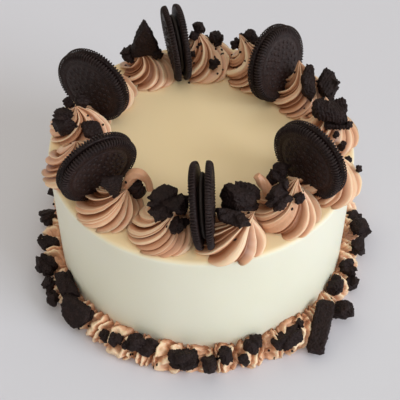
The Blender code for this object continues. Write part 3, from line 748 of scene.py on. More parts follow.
class CAKE_OT_ice_cake(bpy.types.Operator):
    """Spread icing over the uncut cake"""

    bl_idname = "cake.ice_cake"
    bl_label = "Ice the cake"

    def execute(self, context):
        """Turn the cake's profile, then let the icing wander a little."""
        sizes = context.scene.cake_sizes
        shoulder = sizes.height - sizes.edge_round
        inner = sizes.radius - sizes.edge_round
        profile = [
            (0.0, 0.0), (0.5 * sizes.radius, 0.0), (sizes.radius - FOOT_EDGE, 0.0), (sizes.radius, FOOT_EDGE)]
        for row in range(1, WALL_ROWS + 1):
            profile.append((sizes.radius, FOOT_EDGE + (shoulder - FOOT_EDGE) * row / WALL_ROWS))
        for row in range(1, EDGE_ROWS + 1):
            turn = math.radians(90.0 * row / EDGE_ROWS)
            reach = inner + sizes.edge_round * math.cos(turn)
            profile.append((reach, shoulder + sizes.edge_round * math.sin(turn)))
        for ring in range(1, TOP_RINGS):
            profile.append((inner * (1.0 - ring / TOP_RINGS), sizes.height))
        profile.append((0.0, sizes.height))
        mesh_data = turned(profile, COAT_STEPS)
        for vert in mesh_data.verts:
            self.wander(vert, sizes)
        item = new_piece("buttercream_coat", mesh_data, finish_for(CREAM_FINISH))
        place(item, "cream_icing", "iced_cake")
        return {"FINISHED"}

    @staticmethod
    def wander(vert, sizes):
        """Move a point of the icing out or in by a slow wave and a quicker, smaller one."""
        if vert.co.z < FOOT_EDGE + CLOSE:
            return
        reach = math.hypot(vert.co.x, vert.co.y)
        slow = noise.noise(vert.co * SLOW_WAVES)
        quick = noise.noise(vert.co * QUICK_WAVES + Vector((7.0, 3.0, 1.0)))
        wave = (slow + 0.45 * quick - 0.4) * sizes.unevenness
        if reach > sizes.radius - sizes.edge_round - CLOSE:
            grown = 1.0 + wave * min(1.0, vert.co.z / sizes.height) / reach
            vert.co.x *= grown
            vert.co.y *= grown
        if vert.co.z > sizes.height - sizes.edge_round:
            vert.co.z += 0.9 * wave


# The piped swirls


def piped_star_tree():
    """A kiss of frosting from a star nozzle, its ridges winding up to the point.

    A grid is rolled up about Z: across the grid runs round the kiss and follows a
    ridge, and up the grid runs from the middle of the base over the side to the tip.
    """
    tree, given = new_shape_tree("Piped star", [
        ("Radius", "NodeSocketFloat"), ("Height", "NodeSocketFloat"), ("Ridges", "NodeSocketInt"),
        ("Samples", "NodeSocketInt"), ("Rows", "NodeSocketInt"), ("Twist", "NodeSocketFloat"),
        ("Groove", "NodeSocketFloat"), ("Start", "NodeSocketFloat"), ("Lean", "NodeSocketVector"),
        ("Seat", "NodeSocketVector"), ("Turn", "NodeSocketFloat"), ("Left side", "NodeSocketVector"),
        ("Right side", "NodeSocketVector"), ("Unevenness", "NodeSocketFloat"), ("Seed", "NodeSocketFloat"),
        ("Finish", "NodeSocketMaterial"),
    ])
    grid, share_round, share_up = unrolled_grid(tree, given, "Ridges")

    # Half of the section, and how the ridges wind and deepen on their way up
    width = add_node(tree, "ShaderNodeFloatCurve", {"Value": share_up})
    shape_curve(width, [(0.0, 0.0, 1), (1.0, 0.0), (0.05, 0.92, 1), (0.11, 1.0), (0.19, 0.985), (0.34, 0.80),
                        (0.50, 0.56), (0.68, 0.33), (0.84, 0.15), (0.94, 0.06)])
    rise = add_node(tree, "ShaderNodeFloatCurve", {"Value": share_up})
    shape_curve(rise, [(0.0, 0.0, 1), (1.0, 1.0, 1), (0.05, 0.0, 1), (0.12, 0.07), (0.20, 0.14), (0.34, 0.29),
                       (0.50, 0.46), (0.68, 0.65), (0.84, 0.83), (0.94, 0.94)])
    wind = add_node(tree, "ShaderNodeFloatCurve", {"Value": rise.outputs[0]})
    shape_curve(wind, [(0.0, 0.0), (1.0, 1.0), (0.12, 0.22), (0.3, 0.48), (0.6, 0.80)])
    deep = add_node(tree, "ShaderNodeFloatCurve", {"Value": rise.outputs[0]})
    shape_curve(deep, [(0.0, 0.72), (1.0, 1.0), (0.12, 0.86), (0.3, 1.0)])

    # Ridges are uneven in width
    circle = add_node(tree, MATH, {0: share_round, 1: math.tau}, operation="MULTIPLY").outputs[0]
    ahead = add_node(tree, MATH, {0: circle}, operation="COSINE").outputs[0]
    aside = add_node(tree, MATH, {0: circle}, operation="SINE").outputs[0]
    way = add_node(tree, "ShaderNodeCombineXYZ", {0: ahead, 1: aside}).outputs[0]
    sway = add_node(tree, "ShaderNodeTexNoise", {
        "Vector": way, "W": given["Seed"], "Scale": RIDGE_SWAY_WAVES, "Detail": 1.0},
        noise_dimensions="4D")
    sway = sway.outputs["Fac"]
    ridge_at = add_node(tree, MATH, {0: share_round, 1: given["Ridges"]}, operation="MULTIPLY").outputs[0]
    ridge_at = add_node(tree, MATH, {
        0: sway, 1: RIDGE_SWAY, 2: ridge_at}, operation="MULTIPLY_ADD").outputs[0]
    across_ridge = add_node(tree, MATH, {0: ridge_at}, operation="FRACT").outputs[0]
    cut = add_node(tree, "ShaderNodeFloatCurve", {"Value": across_ridge})
    shape_curve(cut, [(0.0, 1.0, 1), (1.0, 1.0, 1), (0.05, 0.86), (0.12, 0.28), (0.16, 0.04), (0.20, 0.0, 1),
                      (0.36, 0.13), (0.54, 0.28), (0.70, 0.52), (0.80, 0.80), (0.90, 0.97)])

    # Each ridge is pressed out a little more or less than its neighbours
    ridge_number = add_node(tree, MATH, {0: ridge_at}, operation="FLOOR").outputs[0]
    ridge_wrapped = add_node(tree, MATH, {0: ridge_number, 1: given["Ridges"]}, operation="FLOORED_MODULO")
    ridge_key = add_node(tree, MATH, {0: ridge_wrapped.outputs[0], 1: given["Seed"]}, operation="ADD")
    chance = add_node(tree, "ShaderNodeTexWhiteNoise", {"W": ridge_key.outputs[0]}, noise_dimensions="1D")
    least, most = RIDGE_SPREAD
    uneven = add_node(tree, "ShaderNodeMapRange", {"Value": chance.outputs["Value"], 3: least, 4: most})

    depth = add_node(tree, MATH, {0: given["Groove"], 1: deep.outputs[0]}, operation="MULTIPLY").outputs[0]
    depth = add_node(tree, MATH, {0: depth, 1: cut.outputs[0]}, operation="MULTIPLY").outputs[0]
    depth = add_node(tree, MATH, {0: depth, 1: uneven.outputs[0]}, operation="MULTIPLY").outputs[0]
    left = add_node(tree, MATH, {0: 1.0, 1: depth}, operation="SUBTRACT").outputs[0]
    reach = add_node(tree, MATH, {0: given["Radius"], 1: width.outputs[0]}, operation="MULTIPLY").outputs[0]
    reach = add_node(tree, MATH, {0: reach, 1: left}, operation="MULTIPLY").outputs[0]

    turn = add_node(tree, MATH, {0: share_round, 1: math.tau}, operation="MULTIPLY").outputs[0]
    wound = add_node(tree, MATH, {0: given["Twist"], 1: wind.outputs[0]}, operation="MULTIPLY").outputs[0]
    turn = add_node(tree, MATH, {0: turn, 1: wound}, operation="ADD").outputs[0]
    turn = add_node(tree, MATH, {0: turn, 1: given["Start"]}, operation="ADD").outputs[0]
    cosine = add_node(tree, MATH, {0: turn}, operation="COSINE").outputs[0]
    sine = add_node(tree, MATH, {0: turn}, operation="SINE").outputs[0]
    east = add_node(tree, MATH, {0: reach, 1: cosine}, operation="MULTIPLY").outputs[0]
    north = add_node(tree, MATH, {0: reach, 1: sine}, operation="MULTIPLY").outputs[0]
    up = add_node(tree, MATH, {0: given["Height"], 1: rise.outputs[0]}, operation="MULTIPLY").outputs[0]
    point = add_node(tree, "ShaderNodeCombineXYZ", {0: east, 1: north, 2: up}).outputs[0]

    # Slow wandering of the whole kiss, none of it at the base
    key = add_node(tree, MATH, {0: given["Seed"], 1: 0.37}, operation="MULTIPLY").outputs[0]
    drift = add_node(tree, "ShaderNodeTexNoise", {
        "Vector": point, "W": key, "Scale": DRIFT_WAVES, "Detail": 2.0}, noise_dimensions="4D")
    drift = add_node(tree, VECTOR_MATH, {0: drift.outputs["Color"], 1: NOISE_MIDDLE}, operation="SUBTRACT")
    swing = add_node(tree, MATH, {0: given["Unevenness"], 1: TIP_SWING}, operation="MULTIPLY").outputs[0]
    amount = add_node(tree, MATH, {0: rise.outputs[0], 1: swing}, operation="MULTIPLY").outputs[0]
    amount = add_node(tree, MATH, {0: amount, 1: given["Unevenness"]}, operation="ADD").outputs[0]
    drift = add_node(tree, VECTOR_MATH, {0: drift.outputs[0], "Scale": amount}, operation="SCALE")
    point = add_node(tree, VECTOR_MATH, {0: point, 1: drift.outputs[0]}, operation="ADD").outputs[0]
    square = add_node(tree, MATH, {0: rise.outputs[0], 1: rise.outputs[0]}, operation="MULTIPLY").outputs[0]
    lean = add_node(tree, VECTOR_MATH, {0: given["Lean"], "Scale": square}, operation="SCALE").outputs[0]
    point = add_node(tree, VECTOR_MATH, {0: point, 1: lean}, operation="ADD").outputs[0]
    point = add_node(tree, VECTOR_MATH, {0: point, 1: given["Seat"]}, operation="ADD").outputs[0]

    # Frosting presses flat against its neighbour on either side
    for side in ("Left side", "Right side"):
        past = add_node(tree, VECTOR_MATH, {0: point, 1: given[side]}, operation="DOT_PRODUCT")
        past = past.outputs["Value"]
        held = add_node(tree, MATH, {
            0: past, 1: -PRESSED_SHORT, 2: PRESSED_SOFTLY}, operation="SMOOTH_MIN").outputs[0]
        extra = add_node(tree, MATH, {0: past, 1: held}, operation="SUBTRACT").outputs[0]
        push = add_node(tree, VECTOR_MATH, {0: given[side], "Scale": extra}, operation="SCALE").outputs[0]
        point = add_node(tree, VECTOR_MATH, {0: point, 1: push}, operation="SUBTRACT").outputs[0]

    # Drag marks run along the ridges, far longer than they are wide
    along = add_node(tree, MATH, {0: share_up, 1: 0.3}, operation="MULTIPLY").outputs[0]
    flow = add_node(tree, "ShaderNodeCombineXYZ", {0: ahead, 1: aside, 2: along}).outputs[0]
    marked = marked_for_finish(tree, grid, cut.outputs[0], flow)
    closed = rolled_up(tree, marked, point)
    spin = add_node(tree, "ShaderNodeCombineXYZ", {2: given["Turn"]})
    in_place = add_node(tree, "GeometryNodeTransform", {"Geometry": closed, "Rotation": spin.outputs[0]})
    end_tree(tree, in_place.outputs[0], given["Finish"])
    return tree


def angle_between(first, second):
    """The smaller angle between two directions in degrees."""
    return abs((first - second + 180.0) % 360.0 - 180.0)


class CAKE_OT_pipe_swirls(bpy.types.Operator):
    """Pipe the ring of swirls on the top of the cake"""

    bl_idname = "cake.pipe_swirls"
    bl_label = "Pipe the swirls"

    def execute(self, context):
        """Pipe each swirl and press it against its neighbours."""
        sizes = context.scene.swirl_sizes
        top = context.scene.cake_sizes.height
        tree = piped_star_tree()
        chance = random.Random(SWIRL_SEED)
        angles = [row[0] for row in SWIRL_ROWS]
        for index, (angle, distance, radius, height, outward, onward, twist) in enumerate(SWIRL_ROWS):
            back = math.radians(0.5 * angle_between(angle, angles[index - 1]))
            ahead = math.radians(0.5 * angle_between(angle, angles[(index + 1) % len(angles)]))
            item = run_tree(f"piped_swirl_{index + 1:02d}", bpy.data.meshes.new("swirl"), tree, {
                "Radius": radius * MM * SWIRL_SPREAD,
                "Height": height * MM + SWIRL_TIP,
                "Ridges": sizes.ridges,
                "Samples": SWIRL_SAMPLES,
                "Rows": SWIRL_LEVELS,
                "Twist": sizes.twist * math.radians(twist),
                "Groove": sizes.groove,
                "Start": chance.uniform(0.0, math.tau),
                "Lean": (outward * MM, onward * MM, 0.0),
                "Seat": (distance * MM, 0.0, top - SWIRL_SINK),
                "Turn": math.radians(angle),
                "Left side": (-math.sin(ahead), math.cos(ahead), 0.0),
                "Right side": (-math.sin(back), -math.cos(back), 0.0),
                "Unevenness": sizes.unevenness,
                "Seed": 11.0 * index,
                "Finish": finish_for(FROSTING_FINISH),
            })
            place(item, "chocolate_frosting", f"swirl_{index + 1:02d}")
        return {"FINISHED"}


# The piped border


def piped_border_tree():
    """A rope of piped shells round the foot, with folds running slantwise over it.

    A grid is rolled up: across the grid runs round the cake, and up the grid runs
    round the section, from the wall over the top and back under the base.
    """
    tree, given = new_shape_tree("Piped border", [
        ("Wall", "NodeSocketFloat"), ("Width", "NodeSocketFloat"), ("Height", "NodeSocketFloat"),
        ("Shells", "NodeSocketInt"), ("Samples", "NodeSocketInt"), ("Rows", "NodeSocketInt"),
        ("Folds", "NodeSocketFloat"), ("Seed", "NodeSocketFloat"), ("Finish", "NodeSocketMaterial"),
    ])
    grid, share_round, share_over = unrolled_grid(tree, given, "Shells")
    turn = add_node(tree, MATH, {0: share_round, 1: math.tau}, operation="MULTIPLY").outputs[0]
    cosine = add_node(tree, MATH, {0: turn}, operation="COSINE").outputs[0]
    sine = add_node(tree, MATH, {0: turn}, operation="SINE").outputs[0]
    way = add_node(tree, "ShaderNodeCombineXYZ", {0: cosine, 1: sine}).outputs[0]

    # Shells differ in length, width and height
    sway = add_node(tree, "ShaderNodeTexNoise", {
        "Vector": way, "W": given["Seed"], "Scale": SHELL_SWAY_WAVES, "Detail": 1.0}, noise_dimensions="4D")
    sway = sway.outputs["Fac"]
    phase = add_node(tree, MATH, {0: share_round, 1: given["Shells"]}, operation="MULTIPLY").outputs[0]
    phase = add_node(tree, MATH, {0: sway, 1: SHELL_SWAY, 2: phase}, operation="MULTIPLY_ADD").outputs[0]
    number = add_node(tree, MATH, {0: phase}, operation="FLOOR").outputs[0]
    number = add_node(tree, MATH, {0: number, 1: given["Shells"]}, operation="FLOORED_MODULO").outputs[0]
    key = add_node(tree, MATH, {0: number, 1: given["Seed"]}, operation="ADD").outputs[0]
    chance = add_node(tree, "ShaderNodeTexWhiteNoise", {"W": key}, noise_dimensions="1D").outputs["Value"]
    within = add_node(tree, MATH, {0: phase}, operation="FRACT").outputs[0]
    swell = add_node(tree, "ShaderNodeFloatCurve", {"Value": within})
    shape_curve(swell, [
        (0.0, 0.66, 1), (1.0, 0.66, 1), (0.10, 0.88), (0.30, 1.0), (0.62, 0.97), (0.86, 0.80)])
    least, most = SHELL_SPREAD
    uneven = add_node(tree, "ShaderNodeMapRange", {"Value": chance, 3: least, 4: most}).outputs[0]

    # Slanting folds
    least, most = FOLD_SLANT
    lay = add_node(tree, "ShaderNodeMapRange", {"Value": chance, 3: least, 4: most}).outputs[0]
    slant = add_node(tree, MATH, {0: share_over, 1: lay}, operation="MULTIPLY").outputs[0]
    slant = add_node(tree, MATH, {
        0: within, 1: FOLDS_ON_SHELL, 2: slant}, operation="MULTIPLY_ADD").outputs[0]
    ruffle = add_node(tree, "ShaderNodeCombineXYZ", {0: cosine, 1: sine, 2: share_over}).outputs[0]
    ruffle = add_node(tree, "ShaderNodeTexNoise", {"Vector": ruffle, "Scale": RUFFLE_WAVES, "Detail": 1.0})
    ruffle = ruffle.outputs["Fac"]
    slant = add_node(tree, MATH, {0: ruffle, 1: RUFFLE, 2: slant}, operation="MULTIPLY_ADD").outputs[0]
    slant = add_node(tree, MATH, {0: slant}, operation="FRACT").outputs[0]
    fold = add_node(tree, "ShaderNodeFloatCurve", {"Value": slant})
    shape_curve(fold, [
        (0.0, 1.0, 1), (1.0, 1.0, 1), (0.08, 0.5), (0.22, 0.05), (0.34, 0.0), (0.62, 0.30), (0.86, 0.80)])
    # No folds on the base and on the wall
    shown = add_node(tree, "ShaderNodeFloatCurve", {"Value": share_over})
    shape_curve(shown, [
        (0.0, 0.0, 1), (1.0, 0.0, 1), (0.12, 0.0, 1), (0.24, 1.0), (0.74, 1.0), (0.86, 0.2, 1)])
    depth = add_node(tree, MATH, {0: given["Folds"], 1: fold.outputs[0]}, operation="MULTIPLY").outputs[0]
    depth = add_node(tree, MATH, {0: depth, 1: shown.outputs[0]}, operation="MULTIPLY").outputs[0]
    size = add_node(tree, MATH, {0: swell.outputs[0], 1: uneven}, operation="MULTIPLY").outputs[0]
    size = add_node(tree, MATH, {0: size, 1: depth}, operation="SUBTRACT").outputs[0]

    # The section: how far out from the wall and how high, over its outline
    out = add_node(tree, "ShaderNodeFloatCurve", {"Value": share_over})
    shape_curve(out, [(0.0, 0.0, 1), (1.0, 0.0, 1), (0.10, 0.0, 1), (0.20, 0.14), (0.36, 0.46), (0.54, 0.83),
                      (0.68, 1.0), (0.79, 0.96), (0.88, 0.82, 1)])
    up = add_node(tree, "ShaderNodeFloatCurve", {"Value": share_over})
    shape_curve(up, [(0.0, 0.0, 1), (1.0, 0.0, 1), (0.10, 0.86, 1), (0.20, 0.99), (0.30, 1.0), (0.46, 0.86),
                     (0.60, 0.58), (0.74, 0.22), (0.82, 0.06), (0.88, 0.0, 1)])
    reach = add_node(tree, MATH, {0: given["Width"], 1: out.outputs[0]}, operation="MULTIPLY").outputs[0]
    reach = add_node(tree, MATH, {0: reach, 1: size, 2: given["Wall"]}, operation="MULTIPLY_ADD").outputs[0]
    high = add_node(tree, MATH, {0: given["Height"], 1: up.outputs[0]}, operation="MULTIPLY").outputs[0]
    high = add_node(tree, MATH, {0: high, 1: size}, operation="MULTIPLY").outputs[0]
    flat = add_node(tree, VECTOR_MATH, {0: way, "Scale": reach}, operation="SCALE").outputs[0]
    raised = add_node(tree, "ShaderNodeCombineXYZ", {2: high}).outputs[0]
    point = add_node(tree, VECTOR_MATH, {0: flat, 1: raised}, operation="ADD").outputs[0]

    # Frosting slumps unevenly, but neither into the wall nor below the base
    slump = add_node(tree, "ShaderNodeTexNoise", {"Vector": point, "Scale": SLUMP_WAVES, "Detail": 3.0})
    slump = slump.outputs["Color"]
    slump = add_node(tree, VECTOR_MATH, {0: slump, 1: NOISE_MIDDLE}, operation="SUBTRACT").outputs[0]
    push = add_node(tree, MATH, {0: shown.outputs[0], 1: SLUMP}, operation="MULTIPLY").outputs[0]
    slump = add_node(tree, VECTOR_MATH, {0: slump, "Scale": push}, operation="SCALE").outputs[0]
    point = add_node(tree, VECTOR_MATH, {0: point, 1: slump}, operation="ADD").outputs[0]
    parts = add_node(tree, "ShaderNodeSeparateXYZ", {0: point})
    level = add_node(tree, MATH, {0: parts.outputs["Z"], 1: BORDER_LIFT}, operation="MAXIMUM").outputs[0]
    plan = add_node(tree, "ShaderNodeCombineXYZ", {0: parts.outputs["X"], 1: parts.outputs["Y"]}).outputs[0]
    away = add_node(tree, VECTOR_MATH, {0: plan}, operation="LENGTH").outputs["Value"]
    away = add_node(tree, MATH, {0: away, 1: given["Wall"]}, operation="MAXIMUM").outputs[0]
    plan = add_node(tree, VECTOR_MATH, {0: plan}, operation="NORMALIZE").outputs[0]
    plan = add_node(tree, VECTOR_MATH, {0: plan, "Scale": away}, operation="SCALE").outputs[0]
    level = add_node(tree, "ShaderNodeCombineXYZ", {2: level}).outputs[0]
    point = add_node(tree, VECTOR_MATH, {0: plan, 1: level}, operation="ADD").outputs[0]

    # Painted shade: darker in the folds, between the shells and along the wall; where none of these lies the
    # finish paints a highlight
    between = add_node(tree, "ShaderNodeMapRange", {
        "Value": swell.outputs[0], 1: 0.66, 2: 0.90, 3: 0.6, 4: 0.0}).outputs[0]
    wall_painted_shade = add_node(tree, "ShaderNodeMapRange", {
        "Value": share_over, 1: 0.14, 2: 0.30, 3: 1.0, 4: 0.0}).outputs[0]
    dark = add_node(tree, MATH, {0: fold.outputs[0], 1: 0.5}, operation="MULTIPLY").outputs[0]
    dark = add_node(tree, MATH, {0: dark, 1: between}, operation="MAXIMUM").outputs[0]
    dark = add_node(tree, MATH, {0: dark, 1: wall_painted_shade}, operation="MAXIMUM").outputs[0]
    along = add_node(tree, VECTOR_MATH, {0: way, "Scale": 3.0}, operation="SCALE").outputs[0]
    over = add_node(tree, MATH, {0: share_over, 1: 2.4}, operation="MULTIPLY").outputs[0]
    over = add_node(tree, "ShaderNodeCombineXYZ", {2: over}).outputs[0]
    flow = add_node(tree, VECTOR_MATH, {0: along, 1: over}, operation="ADD").outputs[0]
    marked = marked_for_finish(tree, grid, dark, flow)
    # Rolled from the wall outwards, the faces point in, so they are turned round
    outward = add_node(tree, "GeometryNodeFlipFaces", {"Mesh": rolled_up(tree, marked, point)})
    end_tree(tree, outward.outputs[0], given["Finish"])
    return tree


class CAKE_OT_pipe_border(bpy.types.Operator):
    """Pipe the border round the foot of the cake"""

    bl_idname = "cake.pipe_border"
    bl_label = "Pipe the border"

    def execute(self, context):
        """Pipe the shells round the wall."""
        sizes = context.scene.border_sizes
        item = run_tree("piped_border", bpy.data.meshes.new("border"), piped_border_tree(), {
            "Wall": context.scene.cake_sizes.radius - BORDER_BITE,
            "Width": sizes.width + BORDER_BITE,
            "Height": sizes.height,
            "Shells": sizes.shells,
            "Samples": SHELL_SAMPLES,
            "Rows": SHELL_LEVELS,
            "Folds": sizes.folds,
            "Seed": BORDER_SEED,
            "Finish": finish_for(FROSTING_FINISH),
        })
        place(item, "chocolate_frosting", "foot_border")
        return {"FINISHED"}


# The sandwich cookies


def ribbed_wafer_tree(sizes):
    """A wafer with a ring of pressed ribs round its rim and rings of dots on its outer face.

    Every rib starts on the axis, turned to face its own point of a small circle.
    """
    tree, given = new_shape_tree("Ribbed wafer", [
        ("Rib", "NodeSocketObject"), ("Count", "NodeSocketInt"), ("Finish", "NodeSocketMaterial")])
    ring = add_node(tree, "GeometryNodeMeshCircle", {"Vertices": given["Count"], "Radius": 1.0 * MM})
    spot = add_node(tree, "GeometryNodeInputPosition").outputs[0]
    facing = add_node(tree, "FunctionNodeAlignRotationToVector", {"Vector": spot}, axis="X", pivot_axis="Z")
    centred = add_node(tree, "GeometryNodeMeshToPoints", {"Mesh": ring.outputs["Mesh"]})
    turn = add_node(tree, "GeometryNodeCaptureAttribute", {"Geometry": centred.outputs[0]})
    turn.capture_items.new("ROTATION", "Facing")
    tree.links.new(facing.outputs[0], turn.inputs["Facing"])
    middle = add_node(tree, "GeometryNodeSetPosition", {
        "Geometry": turn.outputs["Geometry"], "Position": (0.0, 0.0, 0.0)})
    rib = add_node(tree, "GeometryNodeObjectInfo", {"Object": given["Rib"]})
    ribs = add_node(tree, "GeometryNodeInstanceOnPoints", {
        "Points": middle.outputs[0], "Instance": rib.outputs["Geometry"], "Rotation": turn.outputs["Facing"]})
    joined = add_node(tree, "GeometryNodeJoinGeometry")
    tree.links.new(given["Geometry"], joined.inputs[0])
    tree.links.new(ribs.outputs[0], joined.inputs[0])
    dot = add_node(tree, "GeometryNodeMeshIcoSphere", {"Radius": DOT_RADIUS, "Subdivisions": 2})
    for share, count in DOT_RINGS:
        circle = add_node(tree, "GeometryNodeMeshCircle", {"Vertices": count, "Radius": share * sizes.radius})
        raised = add_node(tree, "GeometryNodeTransform", {
            "Geometry": circle.outputs["Mesh"], "Translation": (0.0, 0.0, sizes.wafer)})
        dots = add_node(tree, "GeometryNodeInstanceOnPoints", {
            "Points": raised.outputs[0], "Instance": dot.outputs["Mesh"], "Scale": (1.0, 1.0, DOT_FLATNESS)})
        tree.links.new(dots.outputs[0], joined.inputs[0])
    end_tree(tree, joined.outputs[0], given["Finish"])
    return tree


def wafer_section(sizes):
    """Half of a wafer's section in radius and height: filling side, rim, ring and outer face."""
    edge = sizes.radius - 0.25 * MM
    thick = sizes.wafer
    inner_side = [(0.0, 0.0), (0.6 * edge, 0.0), (edge - 1.2 * MM, 0.0)]
    rim = [
        (edge - 0.5 * MM, 0.12 * MM), (edge - 0.1 * MM, 0.5 * MM), (edge, 1.0 * MM), (edge, 1.6 * MM),
        (edge - 0.15 * MM, 2.2 * MM), (edge - 0.6 * MM, thick - 0.45 * MM),
        (edge - 1.2 * MM, thick - 0.12 * MM), (edge - 1.9 * MM, thick), (edge - 4.4 * MM, thick - 0.05 * MM),
    ]
    pressed_ring = [
        (edge - 4.7 * MM, thick - 0.4 * MM), (edge - 5.3 * MM, thick - 0.4 * MM),
        (edge - 5.7 * MM, thick - 0.08 * MM), (edge - 6.4 * MM, thick),
    ]
    outer_face = [(0.45 * edge, thick), (0.2 * edge, thick), (0.0, thick)]
    return inner_side, rim, pressed_ring, outer_face


def rim_rib(sizes):
    """One rib over the rim of a wafer, along +X, as a small closed mesh."""
    path = wafer_section(sizes)[1]
    half = math.pi * (sizes.radius - 1.0 * MM) / sizes.rim_ribs * RIM_RIB_SHARE
    mesh_data = bmesh.new()
    rows = []
    for index, (reach, height) in enumerate(path):
        before = Vector(path[max(0, index - 1)])
        after = Vector(path[min(len(path) - 1, index + 1)])
        along = (after - before).normalized()
        out = Vector((along.y, -along.x)) * (RIM_RIB_HEIGHT if 0 < index < len(path) - 1 else 0.0)
        root = Vector((reach, height)) - RIM_RIB_ROOT * out
        crest = mesh_data.verts.new((reach + out.x, 0.0, height + out.y))
        near = mesh_data.verts.new((root.x, -half, root.y))
        far = mesh_data.verts.new((root.x, half, root.y))
        rows.append((near, crest, far))
    for first, second in zip(rows, rows[1:]):
        for side in range(3):
            following = (side + 1) % 3
            mesh_data.faces.new((first[side], second[side], second[following], first[following]))
    mesh_data.faces.new(rows[0])
    mesh_data.faces.new(tuple(reversed(rows[-1])))
    bmesh.ops.recalc_face_normals(mesh_data, faces=mesh_data.faces)
    mesh = bpy.data.meshes.new("rib")
    mesh_data.to_mesh(mesh)
    mesh_data.free()
    item = bpy.data.objects.new("rib", mesh)
    bpy.context.scene.collection.objects.link(item)
    return item


def cookie_frame(row, sizes, top):
    """Place a cookie on edge, its flat faces looking along the ring of swirls."""
    _, angle, distance, turn, lean, _ = row
    tilt = math.radians(lean)
    facing = math.radians(angle - 90.0 + turn)
    thickness = 2.0 * sizes.wafer + sizes.filling
    axis = Vector((math.cos(facing) * math.cos(tilt), math.sin(facing) * math.cos(tilt), math.sin(tilt)))
    drop = sizes.radius * math.cos(tilt) + 0.5 * thickness * abs(math.sin(tilt))
    centre = polar(angle, distance * MM, top + drop)
    side = axis.cross(Vector((0.0, 0.0, 1.0))).normalized()
    up = side.cross(axis)
    turned_to = Matrix((side, up, side.cross(up))).transposed()
    return Matrix.Translation(centre) @ turned_to.to_4x4()


class CAKE_OT_stand_cookies(bpy.types.Operator):
    """Stand the sandwich cookies among the swirls"""

    bl_idname = "cake.stand_cookies"
    bl_label = "Stand the cookies"

    def execute(self, context):
        """Build two ribbed wafers and a filling for each cookie."""
        sizes = context.scene.cookie_sizes
        top = context.scene.cake_sizes.height
        tree = ribbed_wafer_tree(sizes)
        rib = rim_rib(sizes)
        for row in COOKIE_ROWS:
            home = cookie_frame(row, sizes, top)
            for label, outward in (("a", 1.0), ("b", -1.0)):
                mesh = bpy.data.meshes.new("wafer")
                section = [point for part in wafer_section(sizes) for point in part]
                mesh_data = turned(section, WAFER_STEPS)
                mesh_data.to_mesh(mesh)
                mesh_data.free()
                item = run_tree(f"wafer_{row[0]}_{label}", mesh, tree, {
                    "Rib": rib, "Count": sizes.rim_ribs, "Finish": finish_for(PRESSED_FINISH)})
                item.data.transform(home @ self.lean_open(outward, row[5], sizes))
                place(item, "dark_cookie", f"cookie_{row[0]}_wafer_{label}")
            item = self.filling(row, sizes, home)
            place(item, "cookie_filling", f"cookie_{row[0]}_filling")
        bpy.data.objects.remove(rib, do_unlink=True)
        return {"FINISHED"}

    @staticmethod
    def lean_open(outward, spread, sizes):
        """Turn a wafer to its own side of the filling, spread about the bottom edge."""
        flip = Matrix.Rotation(0.0 if outward > 0.0 else math.pi, 4, "Y")
        shift = Matrix.Translation((0.0, 0.0, 0.5 * sizes.filling))
        hinge = Vector((0.0, -sizes.radius, 0.0))
        swing = Matrix.Rotation(math.radians(0.5 * spread * outward), 4, "X")
        return Matrix.Translation(hinge) @ swing @ Matrix.Translation(-hinge) @ flip @ shift

    @staticmethod
    def filling(row, sizes, home):
        """A pressed disc of filling whose edge bulges a little."""
        half = 0.5 * sizes.filling
        reach = sizes.filling_radius
        profile = [(0.0, -half), (reach - 0.4 * MM, -half), (reach, -0.4 * half), (reach, 0.4 * half),
                   (reach - 0.4 * MM, half), (0.0, half)]
        mesh_data = turned(profile, FILLING_STEPS)
        for vert in mesh_data.verts:
            vert.co *= 1.0 + FILLING_BULGE * noise.noise(vert.co * FILLING_WAVES)
        mesh_data.transform(home)
        return new_piece(f"filling_{row[0]}", mesh_data, finish_for(FILLING_FINISH))


# Broken cookie


def any_turn(chance):
    """A turn about every axis."""
    return Euler([chance.uniform(0.0, math.tau) for _ in range(3)]).to_matrix()


def any_way(chance):
    """A direction, with none likelier than another."""
    return Vector([chance.gauss(0.0, 1.0) for _ in range(3)]).normalized()


def add_block(mesh_data, centre, size, spin, chance):
    """A small skewed block, part of a broken piece."""
    corners = []
    for index in range(8):
        corner = Vector()
        for axis in range(3):
            side = 0.5 if index >> axis & 1 else -0.5
            corner[axis] = size[axis] * side * chance.uniform(0.75, 1.1)
        corners.append(mesh_data.verts.new(centre + spin @ corner))
    made = bmesh.ops.convex_hull(mesh_data, input=corners)
    spare = [vert for vert in made["geom_interior"] if isinstance(vert, bmesh.types.BMVert)]
    bmesh.ops.delete(mesh_data, geom=spare, context="VERTS")


def add_blocks(mesh_data, centre, count, chance):
    """Give a plain piece more corners, with skewed blocks out towards some of its own."""
    reaches = [vert.co - centre for vert in mesh_data.verts]
    for _ in range(count):
        arm = chance.choice(reaches)
        block = [arm.length * chance.uniform(0.5, 0.95) for _ in range(3)]
        add_block(mesh_data, centre + arm * chance.uniform(0.5, 0.68), block, any_turn(chance), chance)


def remeshed(mesh_data, step):
    """One closed, evenly dense mesh over a plain piece and its blocks."""
    plain = bpy.data.meshes.new("plain")
    mesh_data.to_mesh(plain)
    mesh_data.free()
    item = bpy.data.objects.new("plain", plain)
    bpy.context.scene.collection.objects.link(item)
    modifier = item.modifiers.new("remesh", "REMESH")
    modifier.mode = "VOXEL"
    modifier.voxel_size = step
    graph = bpy.context.evaluated_depsgraph_get()
    dense = bpy.data.meshes.new_from_object(item.evaluated_get(graph))
    bpy.data.objects.remove(item, do_unlink=True)
    return dense


def break_flat(dense, centre, chance):
    """Press what lies past a plane back to it, for a flat break with crisp edges."""
    facing = any_way(chance)
    limit = max(facing.dot(vert.co - centre) for vert in dense.vertices) * chance.uniform(0.76, 0.93)
    for vert in dense.vertices:
        past = facing.dot(vert.co - centre) - limit
        if past > 0.0:
            vert.co -= facing * past * BREAK_PRESSED


